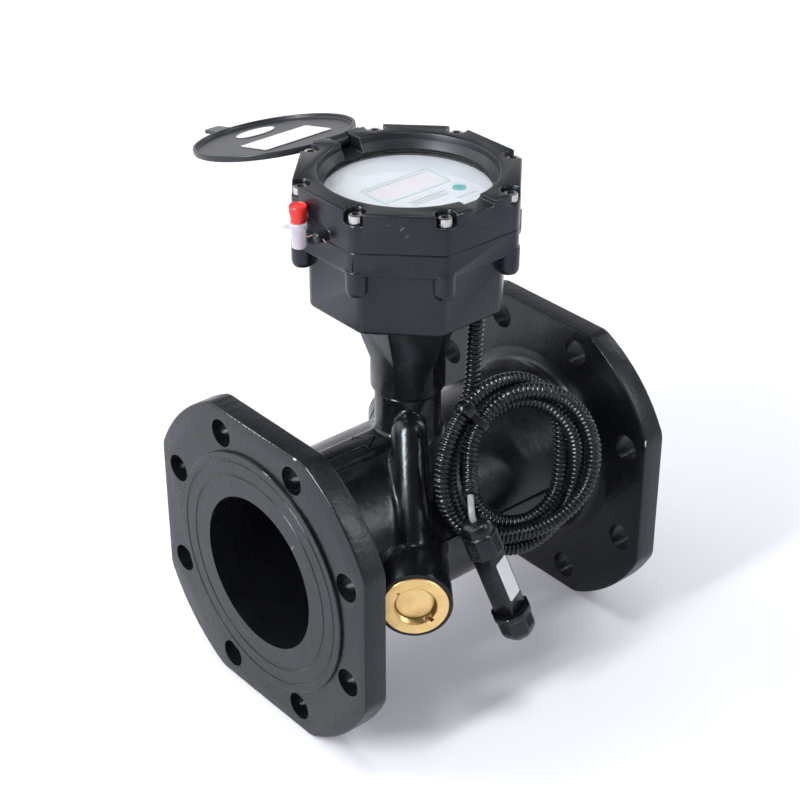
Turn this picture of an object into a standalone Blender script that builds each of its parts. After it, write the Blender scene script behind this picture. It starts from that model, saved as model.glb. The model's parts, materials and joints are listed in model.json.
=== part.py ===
"""Flanged ultrasonic water meter, DN100: cast body, display head, two transducers and a cable.

Lengths below are millimetres and become metres when a mesh or a location is set. X runs along
the pipe from inlet to outlet, Z is up and the two flange feet stand on z = 0. The origin is the
middle of the inlet flange's foot.
"""
import math

import bmesh
import bpy
from mathutils import Matrix, Vector

MM = 0.001
GAP = 0.3

# Pipe and flanges
FACE_TO_FACE = 250.0
RAISED_FACE = 2.0
RAISED_FACE_R = 79.0
FLANGE_T = 16.0
FLANGE_R = 110.0
FLANGE_FLAT = 100.0
FLANGE_CORNER_R = 12.0
FLANGE_CHAMFER = 1.5
PIPE_Z = 100.0
PIPE_R = 58.0
BORE_R = 50.0
FLANGE_FILLET = 9.0
BOLT_HOLE_R = 9.0
BOLT_CIRCLE_R = 90.0
BOLT_COUNT = 8
OUTLET_X = FACE_TO_FACE - 2 * RAISED_FACE - FLANGE_T

# Display head, stem and neck, on one vertical axis; each level stands on the one below
HEAD_X = 110.0
STEM_R = 20.8
STEM_RISE = 88.0
STEM_TOP = PIPE_Z + STEM_RISE
SPIGOT_R = 17.4
SPIGOT_H = 18.0
SPIGOT_TOP = STEM_TOP + SPIGOT_H
NECK_GROOVE_LOW = 2.2
NECK_GROOVE_H = 2.8
NECK_GROOVE_D = 2.2
STEM_CAVITY_R = 12.0
STEM_CAVITY_RISE = 63.0
NECK_SCREW_PCR = 14.5
NECK_SCREW_R = 1.7
NECK_SCREW_LENGTH = 14.0
COLLAR_R = 23.3
COLLAR_H = 34.0
COLLAR_TOP = STEM_TOP + COLLAR_H
FUNNEL_APOTHEM = 35.2
FUNNEL_FOOT_R = 20.4
WEB_T = 4.7
SOCKET_TOP = SPIGOT_TOP + GAP
WEB_TOP = SOCKET_TOP + WEB_T
BOX_RISE = 67.0
BOX_Z = STEM_TOP + BOX_RISE
BOX_APOTHEM = 57.0
BOX_WALL = 3.5
BOX_FLOOR = 4.0
BOX_H = 40.5
RING_Z = BOX_Z + BOX_H
RING_H = 13.5
SPLIT_Z = RING_Z + RING_H
GASKET_APOTHEM = BOX_APOTHEM + 0.6
GASKET_W = 2.6
GASKET_DEPTH = 2.0
COVER_H = 24.0
COVER_TOP = SPLIT_Z + COVER_H
COVER_APOTHEM = BOX_APOTHEM + 8.6
COVER_CORNER_R = 7.0
COVER_SCREW_PCR = COVER_APOTHEM - 0.6
COVER_SCREW_R = 2.5
COVER_SCREW_LENGTH = 35.0
SCREW_HEAD_R = 4.25
SCREW_HEAD_H = 5.0
POCKET_R = 8.0
POCKET_DEPTH = 7.5
POCKET_Z = COVER_TOP - POCKET_DEPTH
SCREW_BOSS_R = 6.0
SCREW_BOSS_Z = RING_Z - 13.5

# Window and dial, stacked down from the cover's lip
LIP_DEPTH = 10.1
LIP_T = 1.5
LIP_Z = COVER_TOP - LIP_DEPTH
SEAT_DEPTH = 4.3
SEAT_Z = COVER_TOP - SEAT_DEPTH
GLASS_R = 52.0
GLASS_T = 3.9
WINDOW_GASKET_T = 0.7
GLASS_TOP = LIP_Z - WINDOW_GASKET_T - 2 * GAP
GLASS_Z = GLASS_TOP - GLASS_T
LIP_R = GLASS_R - 2.7
SEAT_R = GLASS_R + 0.6
WINDOW_CAVITY_R = GLASS_R + 2.3
DIAL_R = GLASS_R - 1.7
DIAL_Z = GLASS_Z - GAP
DIAL_T = 1.2
DISPLAY_BOX = (-21.5, 24.5, -4.9, 13.8)
LCD_T = 2.8
CARRIER_T = 1.8
CARRIER_RIM = 3.0
RETAINER_DROP = 4.8
BOARD_DROP = 6.4
BOARD_T = 1.6
BOARD_APOTHEM = BOX_APOTHEM - BOX_WALL - 3.0
CELL_R = 13.0
CELL_LENGTH = 50.0

# Lid
HINGE_Y = COVER_APOTHEM + 0.25
HINGE_DROP = 4.6
HINGE_Z = COVER_TOP - HINGE_DROP
LID_OPEN_DEG = 193.3
LID_R = SEAT_R - 0.6
LID_PLATE_T = 1.5
LID_RIM_H = 2.5
LID_RIM_W = 2.0
LID_TAB_REACH = LID_R + 20.0
LID_TAB_W = 12.0
KNUCKLE_R = 4.0
KNUCKLE_HALF = 6.7
EAR_R = 4.5
EAR_INNER = 7.3
EAR_OUTER = 16.5
PIN_R = 1.5
CHANNEL_HALF = KNUCKLE_HALF + GAP
STICKER_T = 0.3

# Lead seal on the cover's side
LUG_RISE = 3.9
LUG_R = 3.3
LUG_REACH = 8.4
LUG_Y = -5.6
LUG_HOLE_R = 0.9
SEAL_Y = 13.2
SEAL_OUT = 5.6
SEAL_R = 4.3
SEAL_RIM_R = 5.2

# Transducers, on a horizontal line that crosses the pipe below the head
CROSS_DIR = Vector((-0.621, -0.784, 0.0)).normalized()
BOSS_R = 22.5
BOSS_REACH = 111.0
NOSE_BORE_R = 9.3
SEAT_BORE_R = 15.0
RING_BORE_R = 20.5
RING_BORE_DEPTH = 17.0
RING_BORE_START = BOSS_REACH - RING_BORE_DEPTH
SEAT_BORE_DEPTH = 13.0
SEAT_START = RING_BORE_START - SEAT_BORE_DEPTH
NOSE_LENGTH = 15.0
RING_HOLE_R = 12.2
RING_FACE = BOSS_REACH + 1.0
# Reach and rise of each slanting duct and wire bore, from the crossing of the axes
DUCT_R = 11.7
DUCT_TOP = (28.0, 69.0)
DUCT_FOOT = (80.0, 6.4)
LEAD_TOP = (12.0, 68.0)
LEAD_FOOT = (92.0, 12.5)
LEAD_R = 1.2

# Data cable in its ribbed conduit
GLAND_X = HEAD_X + 18.0
GLAND_Y = -42.0
GLAND_HOLE_R = 6.0
GLAND_DROP = 3.3
CONDUIT_R = 5.0
COIL_CENTRE = Vector((HEAD_X + 31.4, -PIPE_R - 14.2, PIPE_Z + 51.5))
COIL_AXIS = Vector((-0.2347, -0.9415, 0.2419)).normalized()
COIL_R_IN = 31.0
COIL_R_OUT = 57.5
COIL_BACK = -10.5
COIL_FRONT = 10.0
COIL_ENTRY_ANGLE = 115.0
TIE_ANGLE = 127.0
TIE_W = 4.5
TIE_T = 1.2
TAIL_R = 2.0
PLUG_TOP = Vector((HEAD_X - 24.4, -PIPE_R - 30.0, PIPE_Z + 42.8))
PLUG_DIR = Vector((0.272, -0.204, -0.94)).normalized()
PLUG_TURN = Vector((-0.558, -0.653, 0.512))

MATERIALS = {
    "cast_paint": ((0.018, 0.019, 0.021), 0.0, 0.42),
    "head_paint": ((0.030, 0.033, 0.040), 0.0, 0.40),
    "brass": ((0.80, 0.62, 0.33), 1.0, 0.28),
    "steel": ((0.70, 0.70, 0.70), 1.0, 0.18),
    "rubber": ((0.012, 0.012, 0.012), 0.0, 0.75),
    "glass": ((0.95, 0.97, 0.98), 0.0, 0.05),
    "dial": ((0.82, 0.83, 0.86), 0.0, 0.55),
    "display": ((0.55, 0.56, 0.55), 0.0, 0.30),
    "lid": ((0.10, 0.11, 0.12), 0.0, 0.45),
    "white": ((0.88, 0.88, 0.88), 0.0, 0.50),
    "red": ((0.85, 0.05, 0.04), 0.0, 0.40),
    "black_plastic": ((0.015, 0.016, 0.018), 0.0, 0.45),
    "board": ((0.02, 0.16, 0.07), 0.0, 0.50),
    "cell": ((0.12, 0.25, 0.16), 0.0, 0.40),
    "grey_cable": ((0.55, 0.56, 0.55), 0.0, 0.50),
}


def clear_scene():
    for obj in list(bpy.data.objects):
        bpy.data.objects.remove(obj, do_unlink=True)


def material(slot):
    existing = bpy.data.materials.get(slot)
    if existing:
        return existing
    colour, metallic, roughness = MATERIALS[slot]
    made = bpy.data.materials.new(slot)
    made.use_nodes = True
    shader = made.node_tree.nodes["Principled BSDF"]
    shader.inputs["Base Color"].default_value = (*colour, 1.0)
    shader.inputs["Metallic"].default_value = metallic
    shader.inputs["Roughness"].default_value = roughness
    made.diffuse_color = (*colour, 1.0)
    return made


def finish(name, bm, slot=None, origin=(0, 0, 0), axis=None, parent=None):
    """Make an object from a bmesh in millimetres, placed by its location and rotation."""
    bmesh.ops.scale(bm, vec=(MM, MM, MM), verts=bm.verts)
    bmesh.ops.recalc_face_normals(bm, faces=bm.faces)
    mesh = bpy.data.meshes.new(name)
    bm.to_mesh(mesh)
    bm.free()
    mesh.shade_smooth()
    mesh.set_sharp_from_angle(angle=math.radians(32))
    if slot:
        mesh.materials.append(material(slot))
    obj = bpy.data.objects.new(name, mesh)
    bpy.context.scene.collection.objects.link(obj)
    obj.location = Vector(origin) * MM
    if axis is not None:
        obj.rotation_euler = Vector(axis).to_track_quat("Z", "Y").to_euler()
    obj.parent = parent
    return obj


def empty(name, origin, matrix=None, rotation=None):
    made = bpy.data.objects.new(name, None)
    bpy.context.scene.collection.objects.link(made)
    made.location = Vector(origin) * MM
    if matrix is not None:
        made.rotation_euler = matrix.to_euler()
    if rotation is not None:
        made.rotation_euler = rotation
    return made


def turned(name, profile, slot=None, steps=32, start=0.0, **place):
    """Turn a closed outline of (radius, height) points about local Z, from an angle in degrees."""
    bm = bmesh.new()
    c, s = math.cos(math.radians(start)), math.sin(math.radians(start))
    verts = [bm.verts.new((c * radius, s * radius, height)) for radius, height in profile]
    edges = []
    for first, second in zip(verts, verts[1:] + verts[:1]):
        on_axis = max(first.co.xy.length, second.co.xy.length) < 1e-9
        if not on_axis:
            edges.append(bm.edges.new((first, second)))
    bmesh.ops.spin(bm, geom=verts + edges, cent=(0, 0, 0), axis=(0, 0, 1), dvec=(0, 0, 0),
                   angle=math.tau, steps=steps, use_merge=True)
    bmesh.ops.remove_doubles(bm, verts=bm.verts, dist=1e-4)
    return finish(name, bm, slot, **place)


def stacked(name, loops, slot=None, hollow=False, **place):
    """Skin a stack of outlines, each a list of points with the same count."""
    bm = bmesh.new()
    rows = [[bm.verts.new(point) for point in loop] for loop in loops]
    count = len(rows[0])
    pairs = list(zip(rows, rows[1:]))
    if hollow:
        pairs.append((rows[-1], rows[0]))
    else:
        bm.faces.new(rows[0])
        bm.faces.new(rows[-1])
    for low, high in pairs:
        for k in range(count):
            j = (k + 1) % count
            bm.faces.new((low[k], low[j], high[j], high[k]))
    return finish(name, bm, slot, **place)


def at_height(outline, z):
    return [(x, y, z) for x, y in outline]


def prism(name, outline, low, high, slot=None, **place):
    """Extrude a flat outline from one height to another."""
    bm = bmesh.new()
    face = bm.faces.new([bm.verts.new((x, y, low)) for x, y in outline])
    grown = bmesh.ops.extrude_face_region(bm, geom=[face])
    moved = [item for item in grown["geom"] if isinstance(item, bmesh.types.BMVert)]
    bmesh.ops.translate(bm, verts=moved, vec=(0, 0, high - low))
    return finish(name, bm, slot, **place)


def block(name, low, high, slot=None, bevel=0.0, **place):
    bm = bmesh.new()
    bmesh.ops.create_cube(bm, size=1.0)
    size = Vector(high) - Vector(low)
    bmesh.ops.scale(bm, vec=size, verts=bm.verts)
    bmesh.ops.translate(bm, verts=bm.verts, vec=(Vector(high) + Vector(low)) / 2)
    if bevel:
        bmesh.ops.bevel(bm, geom=list(bm.edges), offset=bevel, segments=1, affect="EDGES")
    return finish(name, bm, slot, **place)


def rounded_polygon(apothem, sides, radius, first_corner, steps):
    """Outline of a regular polygon with rounded corners, the first corner at an angle in degrees."""
    half = math.pi / sides
    reach = (apothem - radius) / math.cos(half)
    points = []
    for side in range(sides):
        corner = math.radians(first_corner) + side * 2 * half
        for step in range(steps + 1):
            angle = corner - half + 2 * half * step / steps
            x = reach * math.cos(corner) + radius * math.cos(angle)
            y = reach * math.sin(corner) + radius * math.sin(angle)
            points.append((x, y))
    return points


def octagon(apothem, radius, steps=2):
    return rounded_polygon(apothem, 8, radius, 22.5, steps)


def arc(cx, cy, radius, start, end, steps):
    points = []
    for step in range(steps + 1):
        angle = math.radians(start + (end - start) * step / steps)
        points.append((cx + radius * math.cos(angle), cy + radius * math.sin(angle)))
    return points


def circle(radius, count, cx=0.0, cy=0.0):
    return arc(cx, cy, radius, 0, 360 - 360 / count, count - 1)


def cylinder(radius, low, high):
    return [(0, low), (radius, low), (radius, high), (0, high)]


def merge_guides(name, guides):
    """Join separate guides into one object, so that one Boolean does them all."""
    bm = bmesh.new()
    bpy.context.view_layer.update()
    for guide in guides:
        copy = guide.data.copy()
        copy.transform(guide.matrix_world)
        bm.from_mesh(copy)
        bpy.data.meshes.remove(copy)
    bmesh.ops.scale(bm, vec=(1 / MM, 1 / MM, 1 / MM), verts=bm.verts)
    for guide in guides:
        bpy.data.objects.remove(guide, do_unlink=True)
    return finish(name, bm)


def boolean(target, tool, operation):
    modifier = target.modifiers.new(tool.name, "BOOLEAN")
    modifier.operation = operation
    modifier.solver = "EXACT"
    modifier.object = tool
    tool.hide_render = True
    tool.display_type = "WIRE"


def settle(obj):
    """Apply the Booleans, remove their guides and shade the result by its angles."""
    tools = [modifier.object for modifier in obj.modifiers]
    graph = bpy.context.evaluated_depsgraph_get()
    mesh = bpy.data.meshes.new_from_object(obj.evaluated_get(graph))
    mesh.name = obj.name
    obj.modifiers.clear()
    obj.data = mesh
    mesh.shade_smooth()
    mesh.set_sharp_from_angle(angle=math.radians(32))
    for tool in tools:
        bpy.data.objects.remove(tool, do_unlink=True)


def add(target, *tools):
    for tool in tools:
        boolean(target, tool, "UNION")


def cut(target, *tools):
    for tool in tools:
        boolean(target, tool, "DIFFERENCE")


def smooth_route(points, spacing):
    """Points about one spacing apart on a smooth curve through the route's own points."""
    route = [Vector(p) for p in points]
    ends = [2 * route[0] - route[1]] + route + [2 * route[-1] - route[-2]]
    result = [route[0]]
    for a, b, c, d in zip(ends, ends[1:], ends[2:], ends[3:]):
        steps = max(1, round((c - b).length / spacing))
        for step in range(1, steps + 1):
            t = step / steps
            straight = 2 * b + (c - a) * t
            bend = (2 * a - 5 * b + 4 * c - d) * t * t + (3 * b - 3 * c + d - a) * t ** 3
            result.append((straight + bend) / 2)
    return result


def tube(name, points, radius, slot, resolution=2):
    curve = bpy.data.curves.new(name, "CURVE")
    curve.dimensions = "3D"
    curve.bevel_depth = radius * MM
    curve.bevel_resolution = resolution
    curve.use_fill_caps = True
    spline = curve.splines.new("POLY")
    spline.points.add(len(points) - 1)
    for knot, point in zip(spline.points, points):
        knot.co = (*(Vector(point) * MM), 1.0)
    curve.materials.append(material(slot))
    obj = bpy.data.objects.new(name, curve)
    bpy.context.scene.collection.objects.link(obj)
    return obj


def on_cross(side, reach, rise):
    """Point on the transducers' vertical plane; side is +1 for the front one, -1 for the rear."""
    return Vector((HEAD_X, 0, PIPE_Z + rise)) + CROSS_DIR * (side * reach)


def corner_angles(count, first=22.5):
    return [math.radians(first + 360 / count * k) for k in range(count)]


def flange_outline(inset):
    """Round flange cut flat at both sides, top and foot, with its corners rounded."""
    corner = FLANGE_CORNER_R - inset
    cx = FLANGE_FLAT - FLANGE_CORNER_R
    cy = math.sqrt((FLANGE_R - FLANGE_CORNER_R) ** 2 - cx ** 2)
    turn = math.degrees(math.atan2(cy, cx))
    points = []
    for quarter in range(4):
        side = arc(cx, cy, corner, 0, turn, 2)
        rim = arc(0, 0, FLANGE_R - inset, turn, 90 - turn, 5)[1:-1]
        other = arc(cy, cx, corner, 90 - turn, 90, 2)
        c, s = math.cos(quarter * math.pi / 2), math.sin(quarter * math.pi / 2)
        points += [(c * x - s * y, s * x + c * y) for x, y in side + rim + other]
    return points


def make_body():
    """Casting: pipe, both flanges, stem, transducer bosses and the sloping wire ducts."""
    face = -FLANGE_T / 2 - RAISED_FACE
    half = [(0, face)]
    root = PIPE_R + FLANGE_FILLET
    half += [(RAISED_FACE_R, face), (RAISED_FACE_R, -2), (root, -2)]
    fillet_x = FLANGE_T / 2 - 0.5 + FLANGE_FILLET
    half += [(root - FLANGE_FILLET * math.sin(math.radians(a)),
              fillet_x - FLANGE_FILLET * math.cos(math.radians(a))) for a in (0, 45, 90)]
    profile = half + [(radius, OUTLET_X - x) for radius, x in reversed(half)]
    body = turned("meter_body", profile, "cast_paint", 48, origin=(0, 0, PIPE_Z), axis=(1, 0, 0))
    for label, middle in (("inlet", 0.0), ("outlet", OUTLET_X)):
        low, high = middle - FLANGE_T / 2, middle + FLANGE_T / 2
        sections = [(low, FLANGE_CHAMFER), (low + FLANGE_CHAMFER, 0.0),
                    (high - FLANGE_CHAMFER, 0.0), (high, FLANGE_CHAMFER)]
        loops = [[(x, y, PIPE_Z + z) for y, z in flange_outline(inset)] for x, inset in sections]
        add(body, stacked(f"guide_{label}_flange", loops))
    groove = STEM_TOP + NECK_GROOVE_LOW
    deep = SPIGOT_R - NECK_GROOVE_D
    stem = [(0, PIPE_Z + 5), (STEM_R, PIPE_Z + 5), (STEM_R, STEM_TOP), (SPIGOT_R, STEM_TOP),
            (SPIGOT_R, groove), (deep, groove), (deep, groove + NECK_GROOVE_H),
            (SPIGOT_R, groove + NECK_GROOVE_H),
            (SPIGOT_R, SPIGOT_TOP - 0.3), (SPIGOT_R - 0.3, SPIGOT_TOP), (0, SPIGOT_TOP)]
    add(body, turned("guide_stem", stem, steps=24, start=4, origin=(HEAD_X, 0, 0)))
    for side, label in ((1, "front"), (-1, "rear")):
        top = on_cross(side, *DUCT_TOP)
        foot = on_cross(side, *DUCT_FOOT)
        length = (foot - top).length
        cap = [(DUCT_R * math.cos(math.radians(a)), -DUCT_R * math.sin(math.radians(a)))
               for a in (90, 60, 30, 0)]
        cap[0] = (0, -DUCT_R)
        add(body, turned(f"guide_{label}_duct", cap + [(DUCT_R, length), (0, length)], steps=16,
                         start=8, origin=top, axis=foot - top))
        boss = [(0, 40), (BOSS_R, 40), (BOSS_R, BOSS_REACH - 0.9), (BOSS_R - 0.9, BOSS_REACH),
                (0, BOSS_REACH)]
        add(body, turned(f"guide_{label}_boss", boss, steps=24, start=5,
                         origin=(HEAD_X, 0, PIPE_Z), axis=CROSS_DIR * side))
    pad_top = PIPE_Z + PIPE_R + 2
    add(body, block("guide_pad", (3, -10, PIPE_Z + 27), (HEAD_X - 9, 10, pad_top)))
    arrow = [(43, -4.5), (71, -4.5), (71, -8.3), (83, -0.5), (83, 0.5), (71, 8.3), (71, 4.5), (43, 4.5)]
    add(body, prism("guide_arrow", arrow, pad_top - 25, pad_top + 1.2))
    cut(body, turned("cutter_bore", cylinder(BORE_R, -20, FACE_TO_FACE + 10), steps=48,
                     start=3, origin=(-10, 0, PIPE_Z), axis=(1, 0, 0)))
    cavity = cylinder(STEM_CAVITY_R, PIPE_Z + STEM_CAVITY_RISE, SPIGOT_TOP + 6)
    cut(body, turned("cutter_stem", cavity, steps=20,
                     start=6, origin=(HEAD_X, 0, 0)))
    holes = []
    for middle in (0.0, OUTLET_X):
        for angle in corner_angles(BOLT_COUNT):
            y, z = BOLT_CIRCLE_R * math.cos(angle), BOLT_CIRCLE_R * math.sin(angle)
            holes.append(turned("hole", cylinder(BOLT_HOLE_R, -14, 14), steps=12,
                                origin=(middle, y, PIPE_Z + z), axis=(1, 0, 0)))
    cut(body, merge_guides("cutter_bolts", holes))
    for side, label in ((1, "front"), (-1, "rear")):
        seat = [(0, 34), (NOSE_BORE_R, 34), (NOSE_BORE_R, SEAT_START), (SEAT_BORE_R, SEAT_START),
                (SEAT_BORE_R, RING_BORE_START), (RING_BORE_R, RING_BORE_START),
                (RING_BORE_R, BOSS_REACH + 9), (0, BOSS_REACH + 9)]
        cut(body, turned(f"cutter_{label}_seat", seat, steps=24, start=9,
                         origin=(HEAD_X, 0, PIPE_Z), axis=CROSS_DIR * side))
        start = on_cross(side, 0, LEAD_TOP[1] + LEAD_TOP[0] * lead_slope())
        foot = on_cross(side, *LEAD_FOOT)
        cut(body, turned(f"cutter_{label}_lead", cylinder(2.0, 0, (foot - start).length), steps=8,
                         origin=start, axis=foot - start))
    screw_holes = []
    for angle in corner_angles(3, 90):
        x, y = NECK_SCREW_PCR * math.cos(angle), NECK_SCREW_PCR * math.sin(angle)
        bottom = WEB_TOP - NECK_SCREW_LENGTH - 1.6
        screw_holes.append(turned("hole", cylinder(NECK_SCREW_R + GAP, bottom, SPIGOT_TOP + 5), steps=8,
                                  origin=(HEAD_X + x, y, 0)))
    cut(body, merge_guides("cutter_neck_screws", screw_holes))


def lead_slope():
    """How far the wire bore falls per millimetre of reach."""
    return (LEAD_TOP[1] - LEAD_FOOT[1]) / (LEAD_FOOT[0] - LEAD_TOP[0])


def make_transducers():
    for side, label in ((1, "front"), (-1, "rear")):
        place = {"origin": (HEAD_X, 0, PIPE_Z), "axis": CROSS_DIR * side}
        nose, seat, waist, neck = NOSE_BORE_R - GAP, SEAT_BORE_R - GAP, RING_HOLE_R + 0.4, RING_HOLE_R - 0.4
        tip, top = SEAT_START - NOSE_LENGTH, RING_BORE_START + 0.1
        capsule = [(0, tip), (nose, tip), (nose, SEAT_START + 2.6), (seat, SEAT_START + 2.6),
                   (seat, SEAT_START + 5), (waist, SEAT_START + 5), (waist, top - 1.9), (seat, top - 1.9),
                   (seat, top), (neck, top), (neck, RING_FACE - 7.5), (neck - 1.6, RING_FACE - 5.8),
                   (neck / 2, RING_FACE - 4.7), (0, RING_FACE - 4.2)]
        turned(f"transducer_{label}", capsule, "brass", 18, **place)
        rim = RING_BORE_R - GAP
        ring = [(RING_HOLE_R, top + GAP), (rim, top + GAP), (rim, RING_FACE - 0.6), (rim - 0.6, RING_FACE),
                (RING_HOLE_R + 0.8, RING_FACE), (RING_HOLE_R, RING_FACE - 0.8)]
        nut = turned(f"transducer_ring_{label}", ring, "brass", 24, start=6, **place)
        slots = []
        across = CROSS_DIR.cross(Vector((0, 0, 1))).normalized()
        for sign in (1, -1):
            lean = (across + Vector((0, 0, 1))).normalized() * sign
            slot = block("slot", (-1.25, -1.25, -3), (1.25, 1.25, 5),
                         origin=on_cross(side, RING_FACE, 0) + lean * (RING_HOLE_R + 4),
                         axis=CROSS_DIR * side)
            slots.append(slot)
        cut(nut, merge_guides(f"cutter_{label}_slots", slots))
        seal = [(SEAT_BORE_R - 2.8 + x, SEAT_START + 1.3 + y) for x, y in circle(1.0, 6)]
        turned(f"transducer_seal_{label}", seal, "rubber", 18, **place)
        reach = LEAD_FOOT[0] - 2.4
        start = on_cross(side, reach, LEAD_FOOT[1] + 2.4 * lead_slope())
        mid = on_cross(side, LEAD_TOP[0] + 1, LEAD_TOP[1] - lead_slope())
        head = STEM_RISE + BOX_RISE
        end = SPLIT_Z - BOARD_DROP - 0.4 - PIPE_Z
        route = [start, mid, on_cross(side, 8.6, LEAD_TOP[1] + 3.6), on_cross(side, 5.6, STEM_RISE - 6),
                 on_cross(side, 4.2, STEM_RISE + SPIGOT_H - 1), on_cross(side, 4.2, head - 15),
                 on_cross(side, 9, head + BOX_H / 2), on_cross(side, 14, end)]
        tube(f"transducer_lead_{label}", [start] + smooth_route(route[1:], 9), LEAD_R, "grey_cable", 1)


def make_housing():
    """Lower part of the display head, with the hexagonal funnel and the collar on the stem."""
    axis = {"origin": (HEAD_X, 0, 0)}
    sections = [(BOX_Z, 54.0, 5.0), (BOX_Z + 0.9, 56.1, 7.1), (BOX_Z + 3, BOX_APOTHEM, 8.0),
                (RING_Z + 4, BOX_APOTHEM, 8.0)]
    loops = [at_height(octagon(apothem, radius), z) for z, apothem, radius in sections]
    housing = stacked("head_housing", loops, "head_paint", **axis)
    ring = [at_height(octagon(COVER_APOTHEM - inset, COVER_CORNER_R - inset), z) for z, inset in
            ((RING_Z, 0.7), (RING_Z + 0.7, 0.0), (SPLIT_Z, 0.0))]
    add(housing, stacked("guide_ring", ring, **axis))
    bosses = []
    for angle in corner_angles(8):
        x, y = COVER_SCREW_PCR * math.cos(angle), COVER_SCREW_PCR * math.sin(angle)
        shape = [(0, SCREW_BOSS_Z), (SCREW_BOSS_R - 2, SCREW_BOSS_Z), (SCREW_BOSS_R, SCREW_BOSS_Z + 2),
                 (SCREW_BOSS_R, RING_Z + 5), (0, RING_Z + 5)]
        bosses.append(turned("boss", shape, steps=10, start=10, origin=(HEAD_X + x, y, 0)))
    add(housing, merge_guides("guide_screw_bosses", bosses))
    hexagon = [(BOX_Z + 2, FUNNEL_APOTHEM), (COLLAR_TOP - 5, COLLAR_R - 0.35),
               (COLLAR_TOP - 13.5, FUNNEL_FOOT_R)]
    loops = [at_height(rounded_polygon(apothem, 6, 2.5, 30, 2), z) for z, apothem in hexagon]
    add(housing, stacked("guide_funnel", loops, **axis))
    collar = [(0, STEM_TOP + GAP), (COLLAR_R - 2, STEM_TOP + GAP), (COLLAR_R, STEM_TOP + GAP + 2),
              (COLLAR_R, COLLAR_TOP), (0, COLLAR_TOP)]
    add(housing, turned("guide_collar", collar, steps=24, start=7, **axis))
    well = at_height(octagon(BOX_APOTHEM - BOX_WALL, 10.0), BOX_Z + BOX_FLOOR)
    rim = at_height(octagon(BOX_APOTHEM - BOX_WALL, 10.0), SPLIT_Z + 8)
    cut(housing, stacked("cutter_well", [well, rim], **axis))
    bore, wires, shaft = SPIGOT_R + 0.4, STEM_CAVITY_R - 3, COLLAR_R - 3.8
    neck = [(0, STEM_TOP - 8), (bore, STEM_TOP - 8), (bore, SOCKET_TOP), (wires, SOCKET_TOP),
            (wires, WEB_TOP), (shaft, WEB_TOP), (shaft, BOX_Z + 10), (0, BOX_Z + 10)]
    cut(housing, turned("cutter_neck", neck, steps=20, start=5, **axis))
    holes = []
    for angle in corner_angles(8):
        x, y = COVER_SCREW_PCR * math.cos(angle), COVER_SCREW_PCR * math.sin(angle)
        bottom = POCKET_Z - COVER_SCREW_LENGTH - 2.5
        holes.append(turned("hole", cylinder(COVER_SCREW_R + GAP, bottom, SPLIT_Z + 6), steps=8,
                            origin=(HEAD_X + x, y, 0)))
    cut(housing, merge_guides("cutter_cover_screws", holes))
    holes = []
    for angle in corner_angles(3, 90):
        x, y = NECK_SCREW_PCR * math.cos(angle), NECK_SCREW_PCR * math.sin(angle)
        holes.append(turned("hole", cylinder(NECK_SCREW_R + GAP + 0.3, SOCKET_TOP - 4, WEB_TOP + 4),
                            steps=8, origin=(HEAD_X + x, y, 0)))
    cut(housing, merge_guides("cutter_web_screws", holes))
    floor = SPLIT_Z - GASKET_DEPTH
    outer = octagon(GASKET_APOTHEM, 20.0, 3)
    inner = octagon(GASKET_APOTHEM - GASKET_W, 20.0 - GASKET_W, 3)
    groove = [at_height(outer, floor), at_height(outer, SPLIT_Z + 7), at_height(inner, SPLIT_Z + 7),
              at_height(inner, floor)]
    cut(housing, stacked("cutter_gasket", groove, hollow=True, **axis))
    cut(housing, turned("cutter_gland", cylinder(GLAND_HOLE_R, BOX_Z - 6, BOX_Z + BOX_FLOOR + 8), steps=14,
                        origin=(GLAND_X, GLAND_Y, 0)))
    outer = octagon(GASKET_APOTHEM - GAP, 20.0 - GAP, 3)
    inner = octagon(GASKET_APOTHEM - GASKET_W + GAP, 20.0 - GASKET_W + GAP, 3)
    seal = [at_height(outer, floor + GAP), at_height(outer, SPLIT_Z), at_height(inner, SPLIT_Z),
            at_height(inner, floor + GAP)]
    stacked("housing_gasket", seal, "rubber", hollow=True, **axis)
    middle = STEM_TOP + NECK_GROOVE_LOW + NECK_GROOVE_H / 2
    ring = [(SPIGOT_R - 0.9 + x, middle + y) for x, y in circle(1.0, 6)]
    turned("neck_seal", ring, "rubber", 20, **axis)
    for index, angle in enumerate(corner_angles(3, 90), 1):
        x, y = NECK_SCREW_PCR * math.cos(angle), NECK_SCREW_PCR * math.sin(angle)
        socket_screw(f"neck_screw_{index}", NECK_SCREW_R, NECK_SCREW_LENGTH, 3.5, 3.0, 1.5,
                     (HEAD_X + x, y, WEB_TOP + GAP))


def socket_screw(name, radius, length, head_r, head_h, socket_r, origin):
    """Cap screw with a hexagon socket; its head's underside is at the origin."""
    count = 12
    rows = [(radius, -length), (radius, 0), (head_r, 0), (head_r, head_h - 0.4), (head_r - 0.4, head_h)]
    loops = [at_height(circle(reach, count), z) for reach, z in rows]
    hexagon = []
    for k in range(count):
        angle = math.tau * k / count
        reach = socket_r if k % 2 == 0 else socket_r * math.cos(math.pi / 6)
        hexagon.append((reach * math.cos(angle), reach * math.sin(angle)))
    loops += [at_height(hexagon, head_h), at_height(hexagon, head_h * 0.5)]
    return stacked(name, loops, "steel", origin=origin)


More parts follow.
